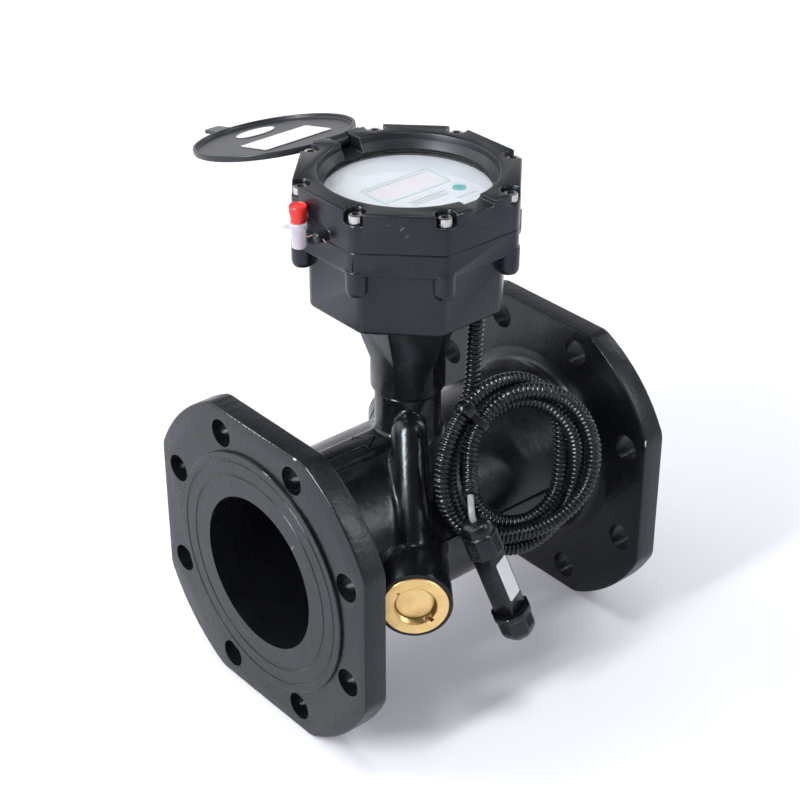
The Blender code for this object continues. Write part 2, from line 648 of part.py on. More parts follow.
def make_cover():
    """Upper part of the head with screw pockets, window seat, hinge ears and latch notch."""
    axis = {"origin": (HEAD_X, 0, 0)}
    low = SPLIT_Z + GAP
    rows = [(low, 0.0), (COVER_TOP - 1, 0.0), (COVER_TOP, 1.0)]
    loops = [at_height(octagon(COVER_APOTHEM - inset, COVER_CORNER_R - inset), z) for z, inset in rows]
    cover = stacked("bezel_cover", loops, "head_paint", **axis)
    ears = []
    root = HINGE_Y - 7.85
    outline = [(root, HINGE_Z - 4.1)] + arc(HINGE_Y, HINGE_Z, EAR_R, -90, 90, 8) + [(root, COVER_TOP - 0.6)]
    for low_x, high_x in ((-EAR_OUTER, -EAR_INNER), (EAR_INNER, EAR_OUTER)):
        loops = [[(x, y, z) for y, z in outline] for x in (low_x, high_x)]
        ears.append(stacked("ear", loops, **axis))
    add(cover, merge_guides("guide_ears", ears))
    lug_x, lug_z = HEAD_X - COVER_APOTHEM - LUG_REACH, SPLIT_Z + LUG_RISE
    lug_profile = [(0, 0), (LUG_R - 0.3, 0), (LUG_R, 0.6), (LUG_R, LUG_REACH + 2.6), (0, LUG_REACH + 2.6)]
    lug = turned("guide_lug", lug_profile, steps=16, origin=(lug_x, LUG_Y, lug_z), axis=(1, 0, 0))
    add(cover, lug)
    window = [(0, SPLIT_Z - 9), (WINDOW_CAVITY_R, SPLIT_Z - 9), (WINDOW_CAVITY_R, LIP_Z), (LIP_R, LIP_Z),
              (LIP_R, LIP_Z + LIP_T), (SEAT_R - 0.3, SEAT_Z), (SEAT_R, SEAT_Z), (SEAT_R + 1.3, COVER_TOP + 2),
              (0, COVER_TOP + 2)]
    cut(cover, turned("cutter_window", window, steps=40, **axis))
    cut(cover, block("cutter_channel", (-CHANNEL_HALF, LIP_R - 5.3, HINGE_Z - HINGE_DROP),
                     (CHANNEL_HALF, HINGE_Y + 19, COVER_TOP + 7), **axis))
    cut(cover, block("cutter_notch", (-LID_TAB_W / 2 - 2, -COVER_APOTHEM - 19, COVER_TOP - 3),
                     (LID_TAB_W / 2 + 2, -LIP_R + 5.3, COVER_TOP + 7), **axis))
    pockets = []
    holes = []
    for angle in corner_angles(8):
        outline = arc(COVER_SCREW_PCR, 0, POCKET_R, 90, 270, 6)
        outline += [(COVER_SCREW_PCR + 21, -POCKET_R), (COVER_SCREW_PCR + 21, POCKET_R)]
        c, s = math.cos(angle), math.sin(angle)
        turned_outline = [(c * x - s * y, s * x + c * y) for x, y in outline]
        pockets.append(prism("pocket", turned_outline, POCKET_Z, COVER_TOP + 8, **axis))
        holes.append(turned("hole", cylinder(COVER_SCREW_R + GAP, SPLIT_Z - 5, POCKET_Z + 4), steps=8,
                            origin=(HEAD_X + COVER_SCREW_PCR * c, COVER_SCREW_PCR * s, 0)))
    cut(cover, merge_guides("cutter_pockets", pockets), merge_guides("cutter_screw_holes", holes))
    cut(cover, turned("cutter_pin", cylinder(PIN_R + GAP, -30, 30), steps=12,
                      origin=(HEAD_X, HINGE_Y, HINGE_Z), axis=(1, 0, 0)))
    cut(cover, turned("cutter_lug", cylinder(LUG_HOLE_R, -8, 8), steps=10, origin=(lug_x + 3, LUG_Y, lug_z),
                      axis=(0, 1, 0)))
    for index, angle in enumerate(corner_angles(8), 1):
        x, y = COVER_SCREW_PCR * math.cos(angle), COVER_SCREW_PCR * math.sin(angle)
        socket_screw(f"cover_screw_{index}", COVER_SCREW_R, COVER_SCREW_LENGTH, SCREW_HEAD_R, SCREW_HEAD_H,
                     2.3, (HEAD_X + x, y, POCKET_Z + GAP))


def make_window():
    """Window, dial and the electronics in the head."""
    axis = {"origin": (HEAD_X, 0, 0)}
    inner, low, high = LIP_R + 0.4, GLASS_TOP + GAP, LIP_Z - GAP
    gasket = [(inner, low), (GLASS_R, low), (GLASS_R, high), (inner, high)]
    turned("window_gasket", gasket, "rubber", 32, **axis)
    turned("window_glass", cylinder(GLASS_R, GLASS_Z, GLASS_TOP), "glass", 36, **axis)
    inner, outer, low = DIAL_R + 0.5, WINDOW_CAVITY_R - GAP, GLASS_Z - RETAINER_DROP
    turned("glass_retainer", [(inner, low), (outer, low), (outer, GLASS_Z - GAP), (inner, GLASS_Z - GAP)],
           "black_plastic", 32, **axis)
    dial = turned("dial_plate", cylinder(DIAL_R, DIAL_Z - DIAL_T, DIAL_Z), "dial", 36, **axis)
    x0, x1, y0, y1 = DISPLAY_BOX
    cut(dial, block("cutter_display", (x0, y0, DIAL_Z - 6), (x1, y1, DIAL_Z + 4), **axis))
    under = DIAL_Z - DIAL_T - GAP
    block("lcd_module", (x0 - 3, y0 - 3, under - LCD_T), (x1 + 3, y1 + 3, under), "display", **axis)
    floor, outer = under - LCD_T - GAP, DIAL_R - 0.4
    inner = outer - CARRIER_RIM
    turned("display_carrier", [(0, floor - CARRIER_T), (outer, floor - CARRIER_T), (outer, under),
                               (inner, under), (inner, floor), (0, floor)], "black_plastic", 32, **axis)
    low = SPLIT_Z - BOARD_DROP
    board = prism("circuit_board", octagon(BOARD_APOTHEM, 8.0, 2), low, low + BOARD_T, "board", **axis)
    sunk, top = low + BOARD_T / 2, low + BOARD_T
    chips = [block("chip", (-9, -9, sunk), (9, 9, top + 2), **axis),
             block("chip", (-30, 18, sunk), (-18, 30, top + 1.2), **axis),
             block("chip", (20, -34, sunk), (34, -24, top + 3.8), **axis)]
    add(board, merge_guides("guide_chips", chips))
    half, soft = CELL_LENGTH / 2, 0.8
    turned("battery_cell", [(0, -half), (CELL_R - soft, -half), (CELL_R, soft - half), (CELL_R, half - soft),
                            (CELL_R - soft, half), (5, half), (5, half + 1.5), (0, half + 1.5)], "cell", 20,
           origin=(HEAD_X, 31, BOX_Z + BOX_FLOOR + GAP + CELL_R), axis=(1, 0, 0))


def make_lid():
    """Hinged cover over the window, modelled shut about its hinge axis and parented open."""
    hinge = empty("lid_axis", (HEAD_X, HINGE_Y, HINGE_Z), rotation=(math.radians(-LID_OPEN_DEG), 0, 0))
    top = COVER_TOP - HINGE_Z
    plate = top - LID_PLATE_T
    rim = plate - LID_RIM_H
    dish = [(0, plate), (LID_R - LID_RIM_W, plate), (LID_R - LID_RIM_W, rim), (LID_R, rim),
            (LID_R, top - 0.8), (LID_R - 0.8, top), (0, top)]
    lid = turned("lid", dish, "lid", 40, origin=(0, -HINGE_Y, 0), parent=hinge)
    reach = LID_R - HINGE_Y - 2.75
    outline = [(reach, rim + 0.3)] + arc(0, 0, KNUCKLE_R, -90, 90, 8) + [(-4, top - 0.3), (reach, top - 0.3)]
    loops = [[(x, y, z) for y, z in outline] for x in (-KNUCKLE_HALF + 0.3, KNUCKLE_HALF - 0.3)]
    add(lid, stacked("guide_arm", loops, parent=hinge))
    knuckle = turned("guide_knuckle", cylinder(KNUCKLE_R + 0.15, -KNUCKLE_HALF, KNUCKLE_HALF), steps=18,
                     axis=(1, 0, 0), parent=hinge)
    add(lid, knuckle)
    half = LID_TAB_W / 2
    tab_low = plate - 1.0
    root = -LID_R + 2.8
    tab = [(-half, root)] + arc(-half + 2, -LID_TAB_REACH + 2, 2, 180, 270, 3)
    tab += arc(half - 2, -LID_TAB_REACH + 2, 2, 270, 360, 3) + [(half, root)]
    add(lid, prism("guide_tab", tab, tab_low, top - 0.2, origin=(0, -HINGE_Y, 0), parent=hinge))
    cut(lid, turned("cutter_lid_pin", cylinder(PIN_R + GAP, -12, 12), steps=12, start=7,
                    axis=(1, 0, 0), parent=hinge))
    turned("hinge_pin", cylinder(PIN_R, -EAR_OUTER - 0.5, EAR_OUTER + 0.5), "steel", 10,
           origin=(HEAD_X, HINGE_Y, HINGE_Z),
           axis=(1, 0, 0))
    oval = [(4 + 14 * math.cos(a), -26.5 + 8.5 * math.sin(a))
            for a in (math.tau * k / 20 for k in range(20))]
    under = plate - GAP
    prism("sticker_oval", oval, under - STICKER_T, under, "white", origin=(0, -HINGE_Y, 0), parent=hinge)
    label = [(-24, -4), (28, -4), (28, 24), (-24, 24)]
    prism("sticker_plate", label, under - STICKER_T, under, "white", origin=(0, -HINGE_Y, 0), parent=hinge)


def make_seal():
    """Lead seal beside the lug, measured from the level where the cover meets the housing."""
    x = HEAD_X - COVER_APOTHEM - SEAL_OUT
    place = {"origin": (x, SEAL_Y, SPLIT_Z)}
    cap = [(0, 6.9), (SEAL_R, 6.9), (SEAL_R + 0.3, 9.5), (SEAL_R + 1, 12.5), (SEAL_R + 1, 16.6),
           (SEAL_R + 0.4, 17.2), (0, 17.2)]
    turned("seal_cap", cap, "red", 16, **place)
    barrel = [(0, -9.2), (SEAL_R - 0.3, -9.2), (SEAL_R, -8.6), (SEAL_R, 2.8), (SEAL_RIM_R, 3.0),
              (SEAL_RIM_R, 6.6), (0, 6.6)]
    turned("seal_body", barrel, "white", 16, **place)
    x, y, z = HEAD_X - COVER_APOTHEM - LUG_REACH + 3, LUG_Y, SPLIT_Z + LUG_RISE
    wire = smooth_route([(x, SEAL_Y - SEAL_R - 0.4, z - 4.4), (x, y + 10.1, z - 3.3), (x, y + 6.6, z - 1.1),
                         (x, y + LUG_R - 0.1, z), (x, y - LUG_R, z),
                         (x + 0.2, y - LUG_R - 2.3, z - 1.3)], 2.5)
    tube("seal_wire", wire, 0.4, "steel", 1)


def coil_frame():
    along = Vector((0, 0, 1)).cross(COIL_AXIS).normalized()
    up = COIL_AXIS.cross(along)
    if up.z < 0:
        up = -up
    return along, up


def make_cable():
    shank, low, high = GLAND_HOLE_R - GAP, -GLAND_DROP, BOX_FLOOR + 4.5
    gland = [(4.0, low), (shank + 0.8, low), (shank + 0.8, -GAP), (shank, -GAP), (shank, high), (4.0, high)]
    turned("conduit_gland", gland, "black_plastic", 16, origin=(GLAND_X, GLAND_Y, BOX_Z))
    low = BOX_FLOOR + GAP
    nut = [(shank + GAP, low), (shank + 2.5, low), (shank + 2.5, low + 3), (shank + GAP, low + 3)]
    turned("gland_nut", nut, "black_plastic", 18, origin=(GLAND_X, GLAND_Y, BOX_Z))
    along, up = coil_frame()
    entry = along * math.cos(math.radians(COIL_ENTRY_ANGLE)) + up * math.sin(math.radians(COIL_ENTRY_ANGLE))
    end = COIL_CENTRE + entry * (COIL_R_OUT + GAP) + COIL_AXIS * -4
    exit_z = BOX_Z - GLAND_DROP - GAP
    drop = smooth_route([(GLAND_X, GLAND_Y, exit_z), (GLAND_X, GLAND_Y, exit_z - 8.4),
                         (GLAND_X - 2.2, GLAND_Y - 0.9, exit_z - 23.4),
                         end + entry * 12 + Vector((1.0, 0, 1.5)), end + entry * 3, end], 11)
    tube("conduit_drop", drop, CONDUIT_R, "black_plastic", 3)
    r0, r1, h0, h1 = COIL_R_IN, COIL_R_OUT, COIL_BACK, COIL_FRONT
    coil = [(r0 + 3, h0), (r1 - 3, h0), (r1, h0 + 3), (r1, h1 - 3), (r1 - 3, h1), (r0 + 3, h1),
            (r0, h1 - 3), (r0, h0 + 3)]
    turned("conduit_coil", coil, "black_plastic", 28, origin=COIL_CENTRE, axis=COIL_AXIS)
    angle = math.radians(TIE_ANGLE)
    radial = along * math.cos(angle) + up * math.sin(angle)
    matrix = Matrix((radial, COIL_AXIS, radial.cross(COIL_AXIS))).transposed()
    strap = empty("tie_axis", COIL_CENTRE, matrix=matrix)
    clear = 0.45
    inner = [(r0 - clear, h0 - clear), (r1 + clear, h0 - clear), (r1 + clear, h1 + clear),
             (r0 - clear, h1 + clear)]
    more = clear + TIE_T
    outer = [(r0 - more, h0 - more), (r1 + more, h0 - more), (r1 + more, h1 + more), (r0 - more, h1 + more)]
    half = TIE_W / 2
    loops = [at_height(inner, -half), at_height(outer, -half), at_height(outer, half), at_height(inner, half)]
    tie = stacked("cable_tie", loops, "black_plastic", hollow=True, parent=strap)
    add(tie, block("guide_tie_head", (r1 - 12, h1 + clear + 0.4, -3.4), (r1 - 5, h1 + more + 3.4, 3.4),
                   parent=strap))
    start = COIL_CENTRE - along * 44 - up * 4 + COIL_AXIS * (h1 + GAP)
    tail = smooth_route([start, start + COIL_AXIS * 4, PLUG_TOP - PLUG_DIR * 9, PLUG_TOP - PLUG_DIR * 4,
                         PLUG_TOP - PLUG_DIR * 0.0], 5)
    tube("tail_cable", tail, TAIL_R, "grey_cable", 2)


def make_plug():
    """Cable connector in line below the tail: two closed nuts on a square barrel."""
    axis_z = -PLUG_DIR
    axis_x = (PLUG_TURN - axis_z * PLUG_TURN.dot(axis_z)).normalized()
    axis_y = axis_z.cross(axis_x)
    matrix = Matrix((axis_x, axis_y, axis_z)).transposed()
    line = empty("plug_axis", PLUG_TOP, matrix=matrix)

    def eight(apothem, z, radius=2.0):
        return at_height(rounded_polygon(apothem, 8, radius, 22.5, 2), z)

    top = [eight(11.6, -24.5), eight(11.6, -9.5), eight(10.6, -7.0), eight(8.2, -3.2, 4.0),
           eight(5.0, -1.0, 4.0), eight(4.2, -0.3, 4.0)]
    stacked("connector_nut_top", top, "black_plastic", parent=line)
    barrel = rounded_polygon(7.4, 4, 1.0, 0, 2)
    stacked("connector_barrel", [at_height(barrel, -70.2), at_height(barrel, -24.8)], "black_plastic",
            parent=line)
    low = [eight(11.9, -70.5), eight(11.9, -73), eight(11.0, -84), eight(9.0, -89.2, 4.0),
           eight(6.0, -92.0, 4.0), eight(4.1, -93.0, 4.0)]
    stacked("connector_nut_bottom", low, "black_plastic", parent=line)
    face = Vector((1, 1, 0)).normalized()
    side = Vector((-1, 1, 0)).normalized()
    plate = []
    for lift in (7.4 + GAP, 7.4 + GAP + 0.3):
        row = []
        for across, z in ((-5.6, -60), (5.6, -60), (5.6, -31), (-5.6, -31)):
            point = face * lift + side * across
            row.append((point.x, point.y, z))
        plate.append(row)
    stacked("connector_label", plate, "white", parent=line)


def main():
    clear_scene()
    make_body()
    make_transducers()
    make_housing()
    make_cover()
    make_window()
    make_lid()
    make_seal()
    make_cable()
    make_plug()
    for obj in [item for item in bpy.data.objects if item.modifiers]:
        settle(obj)


main()
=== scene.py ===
"""Looks of the flanged ultrasonic water meter: castings, window, lid, seal, brass and coiled conduit.

Lengths are written in millimetres and become metres in mm(). X runs along the pipe, Y points to
the hinge side, Z is up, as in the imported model.
"""
import math

import bmesh
import bpy
from mathutils import Matrix, Vector
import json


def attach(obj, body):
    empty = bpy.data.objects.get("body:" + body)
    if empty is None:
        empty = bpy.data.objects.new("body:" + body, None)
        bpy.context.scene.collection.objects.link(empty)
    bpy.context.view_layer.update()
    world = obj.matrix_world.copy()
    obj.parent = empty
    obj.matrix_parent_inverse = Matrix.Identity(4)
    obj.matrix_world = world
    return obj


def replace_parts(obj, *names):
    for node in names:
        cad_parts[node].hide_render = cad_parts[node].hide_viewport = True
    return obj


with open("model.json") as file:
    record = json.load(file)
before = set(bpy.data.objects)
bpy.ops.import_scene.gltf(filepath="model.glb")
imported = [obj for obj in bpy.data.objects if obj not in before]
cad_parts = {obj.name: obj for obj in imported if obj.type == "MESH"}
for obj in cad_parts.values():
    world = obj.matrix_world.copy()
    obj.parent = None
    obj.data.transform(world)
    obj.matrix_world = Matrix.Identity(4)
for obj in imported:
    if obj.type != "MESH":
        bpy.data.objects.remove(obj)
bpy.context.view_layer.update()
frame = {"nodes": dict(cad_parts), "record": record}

MM = 0.001
UP = Vector((0, 0, 1))
PIPE_Z = 100.0
OUTLET_X = 230.0
HEAD_X = 110.0
CROSS = Vector((-0.621, -0.784, 0.0)).normalized()
BORE_R = 50.0
FLANGE_R = 110.0
FLANGE_THICK = 16.0
FLANGE_FLAT = 100.0
BOLT_CIRCLE = 90.0
BOLT_HOLE_R = 9.0
DUCT_R = 11.7
HEAD_APOTHEM = 65.6
SEAM_Z = 309.0
COVER_TOP = 333.0
SCREW_CIRCLE = 65.0
HINGE_Y = 65.85
HINGE_Z = 328.4
LID_SWING = math.radians(-193.3)
PIN_HOLE_R = 1.8
OVER_HEAD = {"origin": (HEAD_X, 0, 0)}
SIDEWAYS = Matrix(((0, 0, 1), (1, 0, 0), (0, 1, 0))).to_4x4()
LIGHT_BLACK = (0.008, 0.0092, 0.012)
PAINT_SHEEN = 0.36
COOL_SHEEN = (0.84, 0.92, 1.0, 1.0)


def mm(x, y=None, z=None):
    """A point or vector given in millimetres."""
    if y is None:
        return Vector(x) * MM
    return Vector((x, y, z)) * MM


# Camera, set to the photograph's viewing angle
eye = bpy.data.cameras.new("photo_camera")
eye.lens = 85.4
eye.sensor_width = 36.0
eye.clip_end = 20.0
camera = bpy.data.objects.new("photo_camera", eye)
bpy.context.scene.collection.objects.link(camera)
camera.location = (-0.5535, -0.7682, 0.7814)
camera.rotation_euler = (math.radians(59.191), 0.0, math.radians(-40.543))
bpy.context.scene.camera = camera
bpy.context.scene.view_settings.view_transform = "Standard"


# Working by hand: selecting, drawing, turning, cutting


def rest():
    """Leave edit mode with nothing selected."""
    if bpy.context.object and bpy.context.object.mode != "OBJECT":
        bpy.ops.object.mode_set(mode="OBJECT")
    bpy.ops.object.select_all(action="DESELECT")


def hold(piece):
    rest()
    bpy.context.view_layer.objects.active = piece
    piece.select_set(True)


def name_piece(name):
    piece = bpy.context.object
    piece.name = name
    piece.data.name = name
    return piece


def settle(piece):
    """Put the place, turn and size of a piece into its mesh."""
    hold(piece)
    bpy.ops.object.transform_apply(location=True, rotation=True, scale=True)
    return piece


def stand(piece, origin=(0, 0, 0), axis=UP, x_axis=None):
    """Move a piece modelled about Z so that Z lies along an axis from an origin in millimetres."""
    z = Vector(axis).normalized()
    if x_axis is None:
        turn = UP.rotation_difference(z).to_matrix()
    else:
        x = (Vector(x_axis) - z * Vector(x_axis).dot(z)).normalized()
        turn = Matrix((x, z.cross(x), z)).transposed()
    piece.matrix_world = Matrix.Translation(mm(origin)) @ turn.to_4x4()
    return settle(piece)


def pick(piece, kind, wanted):
    """In edit mode, select only the faces or edges that a test wants."""
    bpy.ops.mesh.select_mode(type=kind)
    bpy.ops.mesh.select_all(action="DESELECT")
    mesh = bmesh.from_edit_mesh(piece.data)
    for item in mesh.faces if kind == "FACE" else mesh.edges:
        if wanted(item):
            item.select_set(True)
    bmesh.update_edit_mesh(piece.data)


def draw(name, points):
    """Draw a chain of points: one vertex, extruded from point to point."""
    rest()
    bpy.ops.mesh.primitive_plane_add(size=0.002)
    piece = name_piece(name)
    bpy.ops.object.mode_set(mode="EDIT")
    bpy.ops.mesh.select_mode(type="VERT")
    bpy.ops.mesh.select_all(action="SELECT")
    bpy.ops.mesh.merge(type="CENTER")
    bpy.ops.transform.translate(value=mm(points[0]))
    for here, there in zip(points, points[1:]):
        step = mm(Vector(there) - Vector(here))
        bpy.ops.mesh.extrude_region_move(TRANSFORM_OT_translate={"value": step})
    bpy.ops.mesh.select_all(action="SELECT")
    return piece


def turned(name, profile, steps=64, ring=False, **place):
    """Spin a drawn outline of (radius, height) about Z; a ring's outline is closed."""
    points = [(radius, 0, height) for radius, height in profile]
    if ring:
        points.append(points[0])
    piece = draw(name, points)
    bpy.ops.mesh.spin(steps=steps, angle=math.tau, center=(0, 0, 0), axis=(0, 0, 1))
    bpy.ops.mesh.select_all(action="SELECT")
    bpy.ops.mesh.remove_doubles(threshold=0.00001)
    bpy.ops.mesh.normals_make_consistent(inside=False)
    rest()
    return stand(piece, **place)


def rod(name, radius, low, high, steps, **place):
    """A plain round bar about Z, mostly to cut with."""
    return turned(name, [(0, low), (radius, low), (radius, high), (0, high)], steps, **place)


def plate(name, outline, low, high, **place):
    """Fill a drawn outline and extrude it from one height to another."""
    piece = draw(name, [(x, y, low) for x, y in outline])
    bpy.ops.mesh.edge_face_add()
    bpy.ops.mesh.extrude_region_move(TRANSFORM_OT_translate={"value": mm(0, 0, high - low)})
    bpy.ops.mesh.select_all(action="SELECT")
    bpy.ops.mesh.normals_make_consistent(inside=False)
    rest()
    return stand(piece, **place)


def column(name, sides, apothem, low, high, corner=0.0, rounding=4, first=None, **place):
    """A regular prism from a cylinder primitive, its upright edges rounded to a corner radius."""
    rest()
    half = math.pi / sides
    turn = half if first is None else math.radians(first)
    bpy.ops.mesh.primitive_cylinder_add(vertices=sides, radius=apothem / math.cos(half) * MM,
                                        depth=(high - low) * MM, location=mm(0, 0, (low + high) / 2),
                                        rotation=(0, 0, turn))
    piece = name_piece(name)
    if sides % 4:  # Blender starts a cylinder on +Y
        piece.rotation_euler.z -= math.pi / 2
    settle(piece)
    if corner:
        bpy.ops.object.mode_set(mode="EDIT")
        pick(piece, "EDGE", upright)
        bpy.ops.mesh.bevel(offset=corner * math.tan(half) * MM, segments=rounding, clamp_overlap=False)
        rest()
    return stand(piece, **place)


def upright(edge):
    line = (edge.verts[1].co - edge.verts[0].co).normalized()
    return abs(line.z) > 0.999


def box(name, low, high, bevel=0.0, **place):
    rest()
    size = mm(high) - mm(low)
    bpy.ops.mesh.primitive_cube_add(size=1.0, location=(mm(high) + mm(low)) / 2, scale=size)
    piece = settle(name_piece(name))
    if bevel:
        bpy.ops.object.mode_set(mode="EDIT")
        bpy.ops.mesh.select_all(action="SELECT")
        bpy.ops.mesh.bevel(offset=bevel * MM, segments=2)
        rest()
    return stand(piece, **place)


def round_rim(piece, height, offset, segments=3, axis=2):
    """Bevel the outer edges of a flat end at a height in millimetres."""
    hold(piece)
    bpy.ops.object.mode_set(mode="EDIT")
    pick(piece, "EDGE", lambda edge: all(abs(v.co[axis] / MM - height) < 0.02 for v in edge.verts)
         and edge.is_manifold and edge.calc_face_angle(0) > 0.3)
    bpy.ops.mesh.bevel(offset=offset * MM, segments=segments, clamp_overlap=False)
    rest()
    return piece


def joined(name, pieces):
    rest()
    for piece in pieces:
        piece.select_set(True)
    bpy.context.view_layer.objects.active = pieces[0]
    if len(pieces) > 1:
        bpy.ops.object.join()
    piece = name_piece(name)
    rest()
    return piece


def apply(piece, kind, **values):
    """Add one modifier with its values and apply it."""
    hold(piece)
    modifier = piece.modifiers.new(kind.lower(), kind)
    for key, value in values.items():
        setattr(modifier, key, value)
    bpy.ops.object.modifier_apply(modifier=modifier.name)
    return piece


def boolean(piece, operation, tools):
    for tool in tools:
        apply(piece, "BOOLEAN", operation=operation, solver="EXACT", object=tool)
        bpy.data.objects.remove(tool, do_unlink=True)
    return piece


def add(piece, *tools):
    return boolean(piece, "UNION", tools)


def cut(piece, *tools):
    return boolean(piece, "DIFFERENCE", tools)


def ease_edges(piece, width, segments=2, angle=35):
    """Round every sharp edge a little."""
    return apply(piece, "BEVEL", width=width * MM, segments=segments, limit_method="ANGLE",
                 angle_limit=math.radians(angle), use_clamp_overlap=False, miter_outer="MITER_ARC")


def smooth(piece, angle=35):
    hold(piece)
    bpy.ops.object.shade_smooth_by_angle(angle=math.radians(angle))
    rest()
    return piece


def wear(piece, finish, body="meter"):
    """Give a finished piece its material and the body it rides on."""
    piece.data.materials.clear()
    piece.data.materials.append(finish)
    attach(piece, body)
    return piece


def piece_of(name, mesh):
    """Make an object of a finished bmesh."""
    made = bpy.data.meshes.new(name)
    mesh.to_mesh(made)
    mesh.free()
    piece = bpy.data.objects.new(name, made)
    bpy.context.scene.collection.objects.link(piece)
    return piece


def paint_faces(piece, finish, wanted):
    """Give the faces that a test wants a second finish; the test gets a face and its middle."""
    piece.data.materials.append(finish)
    for face in piece.data.polygons:
        if wanted(face, face.center / MM):
            face.material_index = 1


def copy_of(piece, name):
    twin = piece.copy()
    twin.data = piece.data.copy()
    twin.name = name
    twin.data.name = name
    bpy.context.scene.collection.objects.link(twin)
    return twin


def narrow(vertex, share):
    """Draw one vertex toward the Z axis."""
    vertex.co.x *= share
    vertex.co.y *= share


def around(count, radius):
    for k in range(count):
        angle = math.radians(22.5 + 360 / count * k)
        yield radius * math.cos(angle), radius * math.sin(angle)


def arc(cx, cy, radius, start, end, steps):
    return [(cx + radius * math.cos(math.radians(start + (end - start) * k / steps)),
             cy + radius * math.sin(math.radians(start + (end - start) * k / steps)))
            for k in range(steps + 1)]


def rounded_box(x0, y0, x1, y1, radius, steps=5):
    """Outline of a rectangle with round corners."""
    left, right, front, back = x0 + radius, x1 - radius, y0 + radius, y1 - radius
    return (arc(right, front, radius, -90, 0, steps) + arc(right, back, radius, 0, 90, steps)
            + arc(left, back, radius, 90, 180, steps) + arc(left, front, radius, 180, 270, steps))


# Finishes


class Nodes:
    """Short ways to add nodes to one node tree."""

    def __init__(self, tree):
        self.nodes = tree.nodes
        self.links = tree.links

    def add(self, kind, *wires, operation=None, **values):
        """A new node of a kind, its first sockets wired or set and its named sockets set."""
        node = self.nodes.new("ShaderNode" + kind)
        if operation:
            node.operation = operation
        for socket, wire in zip(node.inputs, wires):
            if isinstance(wire, (float, tuple)):
                socket.default_value = wire
            else:
                self.links.new(wire, socket)
        for key, value in values.items():
            node.inputs[key.replace("_", " ")].default_value = value
        return node

    def times(self, one, two, operation="MULTIPLY"):
        return self.add("Math", one, two, operation=operation).outputs[0]

    def ramp(self, factor, low, high, first=0.0, last=1.0):
        node = self.add("MapRange", factor, From_Min=low, From_Max=high, To_Min=first, To_Max=last)
        return node.outputs["Result"]


class Finish(Nodes):
    """One procedural material, built node by node on Object coordinates."""

    def __init__(self, name, colour, roughness, metallic=0.0, **sockets):
        self.material = bpy.data.materials.new(name)
        self.material.use_nodes = True
        super().__init__(self.material.node_tree)
        self.shader = self.nodes["Principled BSDF"]
        self.shader.inputs["Base Color"].default_value = (*colour, 1)
        self.shader.inputs["Roughness"].default_value = roughness
        self.shader.inputs["Metallic"].default_value = metallic
        for key, value in sockets.items():
            self.shader.inputs[key.replace("_", " ")].default_value = value
        self.place = self.add("TexCoord").outputs["Object"]
        self.bump = None

    def noise(self, scale, detail=3.0, rough=0.55, place=None):
        node = self.add("TexNoise", place or self.place, Scale=scale, Detail=detail, Roughness=rough)
        return node.outputs["Fac"]

    def near(self, centre, reach, turn=(0, 0, 0)):
        """One inside an ellipsoid of the given half sizes in millimetres, nothing outside it."""
        node = self.add("Mapping", self.place, Location=mm(*centre), Rotation=turn, Scale=mm(*reach))
        node.vector_type = "TEXTURE"
        measure = self.add("VectorMath", node.outputs["Vector"], operation="LENGTH")
        return self.ramp(measure.outputs["Value"], 1.0, 0.75)

    def colours(self, factor, first, second):
        """Mix two colours into the base colour; either may be the output of an earlier mix."""
        node = self.add("Mix")
        node.data_type = "RGBA"
        self.links.new(factor, node.inputs["Factor"])
        for key, value in (("A", first), ("B", second)):
            socket = [s for s in node.inputs if s.name == key and s.type == "RGBA"][0]
            if isinstance(value, tuple):
                socket.default_value = (*value, 1)
            else:
                self.links.new(value, socket)
        output = [s for s in node.outputs if s.type == "RGBA"][0]
        self.links.new(output, self.shader.inputs["Base Color"])
        return output

    def gloss(self, factor):
        self.links.new(factor, self.shader.inputs["Roughness"])

    def relief(self, height, distance):
        """Stack one more bump, its distance in millimetres."""
        node = self.add("Bump", Strength=1.0, Distance=distance * MM)
        self.links.new(height, node.inputs["Height"])
        if self.bump:
            self.links.new(self.bump, node.inputs["Normal"])
        self.bump = node.outputs["Normal"]
        self.links.new(self.bump, self.shader.inputs["Normal"])


def black_paint(name, colour, rough, orange_peel, lumps, wear_and_glints=()):
    """Sprayed black paint: orange peel, soft lumps, dust, and pale patches: chips where the paint is worn
    and, on the flange edges, painted highlights.
    """
    made = Finish(name, colour, rough, 0.0, Specular_IOR_Level=PAINT_SHEEN, Specular_Tint=COOL_SHEEN)
    cloud = made.noise(38, 4)
    dust = made.ramp(made.noise(420, 2, 0.6), 0.66, 0.78)
    tone = made.colours(made.ramp(cloud, 0.35, 0.7), colour, tuple(c * 1.45 for c in colour))
    tone = made.colours(made.times(dust, 0.05), tone, (0.16, 0.16, 0.17))
    speckle = made.noise(650, 2, 0.6)
    # Each patch lightens the paint: a worn chip, or a painted highlight along a flange edge
    for centre, reach, turn, amount, pale in wear_and_glints:
        patch = made.times(made.near(centre, reach, turn), made.ramp(speckle, amount + 0.06, amount))
        tone = made.colours(patch, tone, (pale, pale, pale * 1.03))
    made.gloss(made.ramp(made.noise(60, 3), 0.3, 0.75, rough - 0.04, rough + 0.07))
    made.relief(made.noise(260, 2, 0.5), lumps)
    made.relief(made.noise(950, 2, 0.5), orange_peel)
    return made.material


def mixed(name, rough, tones=None, bump=None, gloss=None, metallic=0.0, colour=(0.5, 0.5, 0.5),
          detail=2, span=(0.3, 0.8), **sockets):
    """A finish of tones (scale, first, second), bump (scale, depth) and gloss (scale, least, most rough)."""
    made = Finish(name, colour, rough, metallic, **sockets)
    if tones:
        scale, first, second = tones
        made.colours(made.ramp(made.noise(scale, detail), *span), first, second)
    if gloss:
        scale, smoothest, roughest = gloss
        made.gloss(made.ramp(made.noise(scale, 2), 0.3, 0.7, smoothest, roughest))
    if bump:
        made.relief(made.noise(bump[0], 2), bump[1])
    return made.material
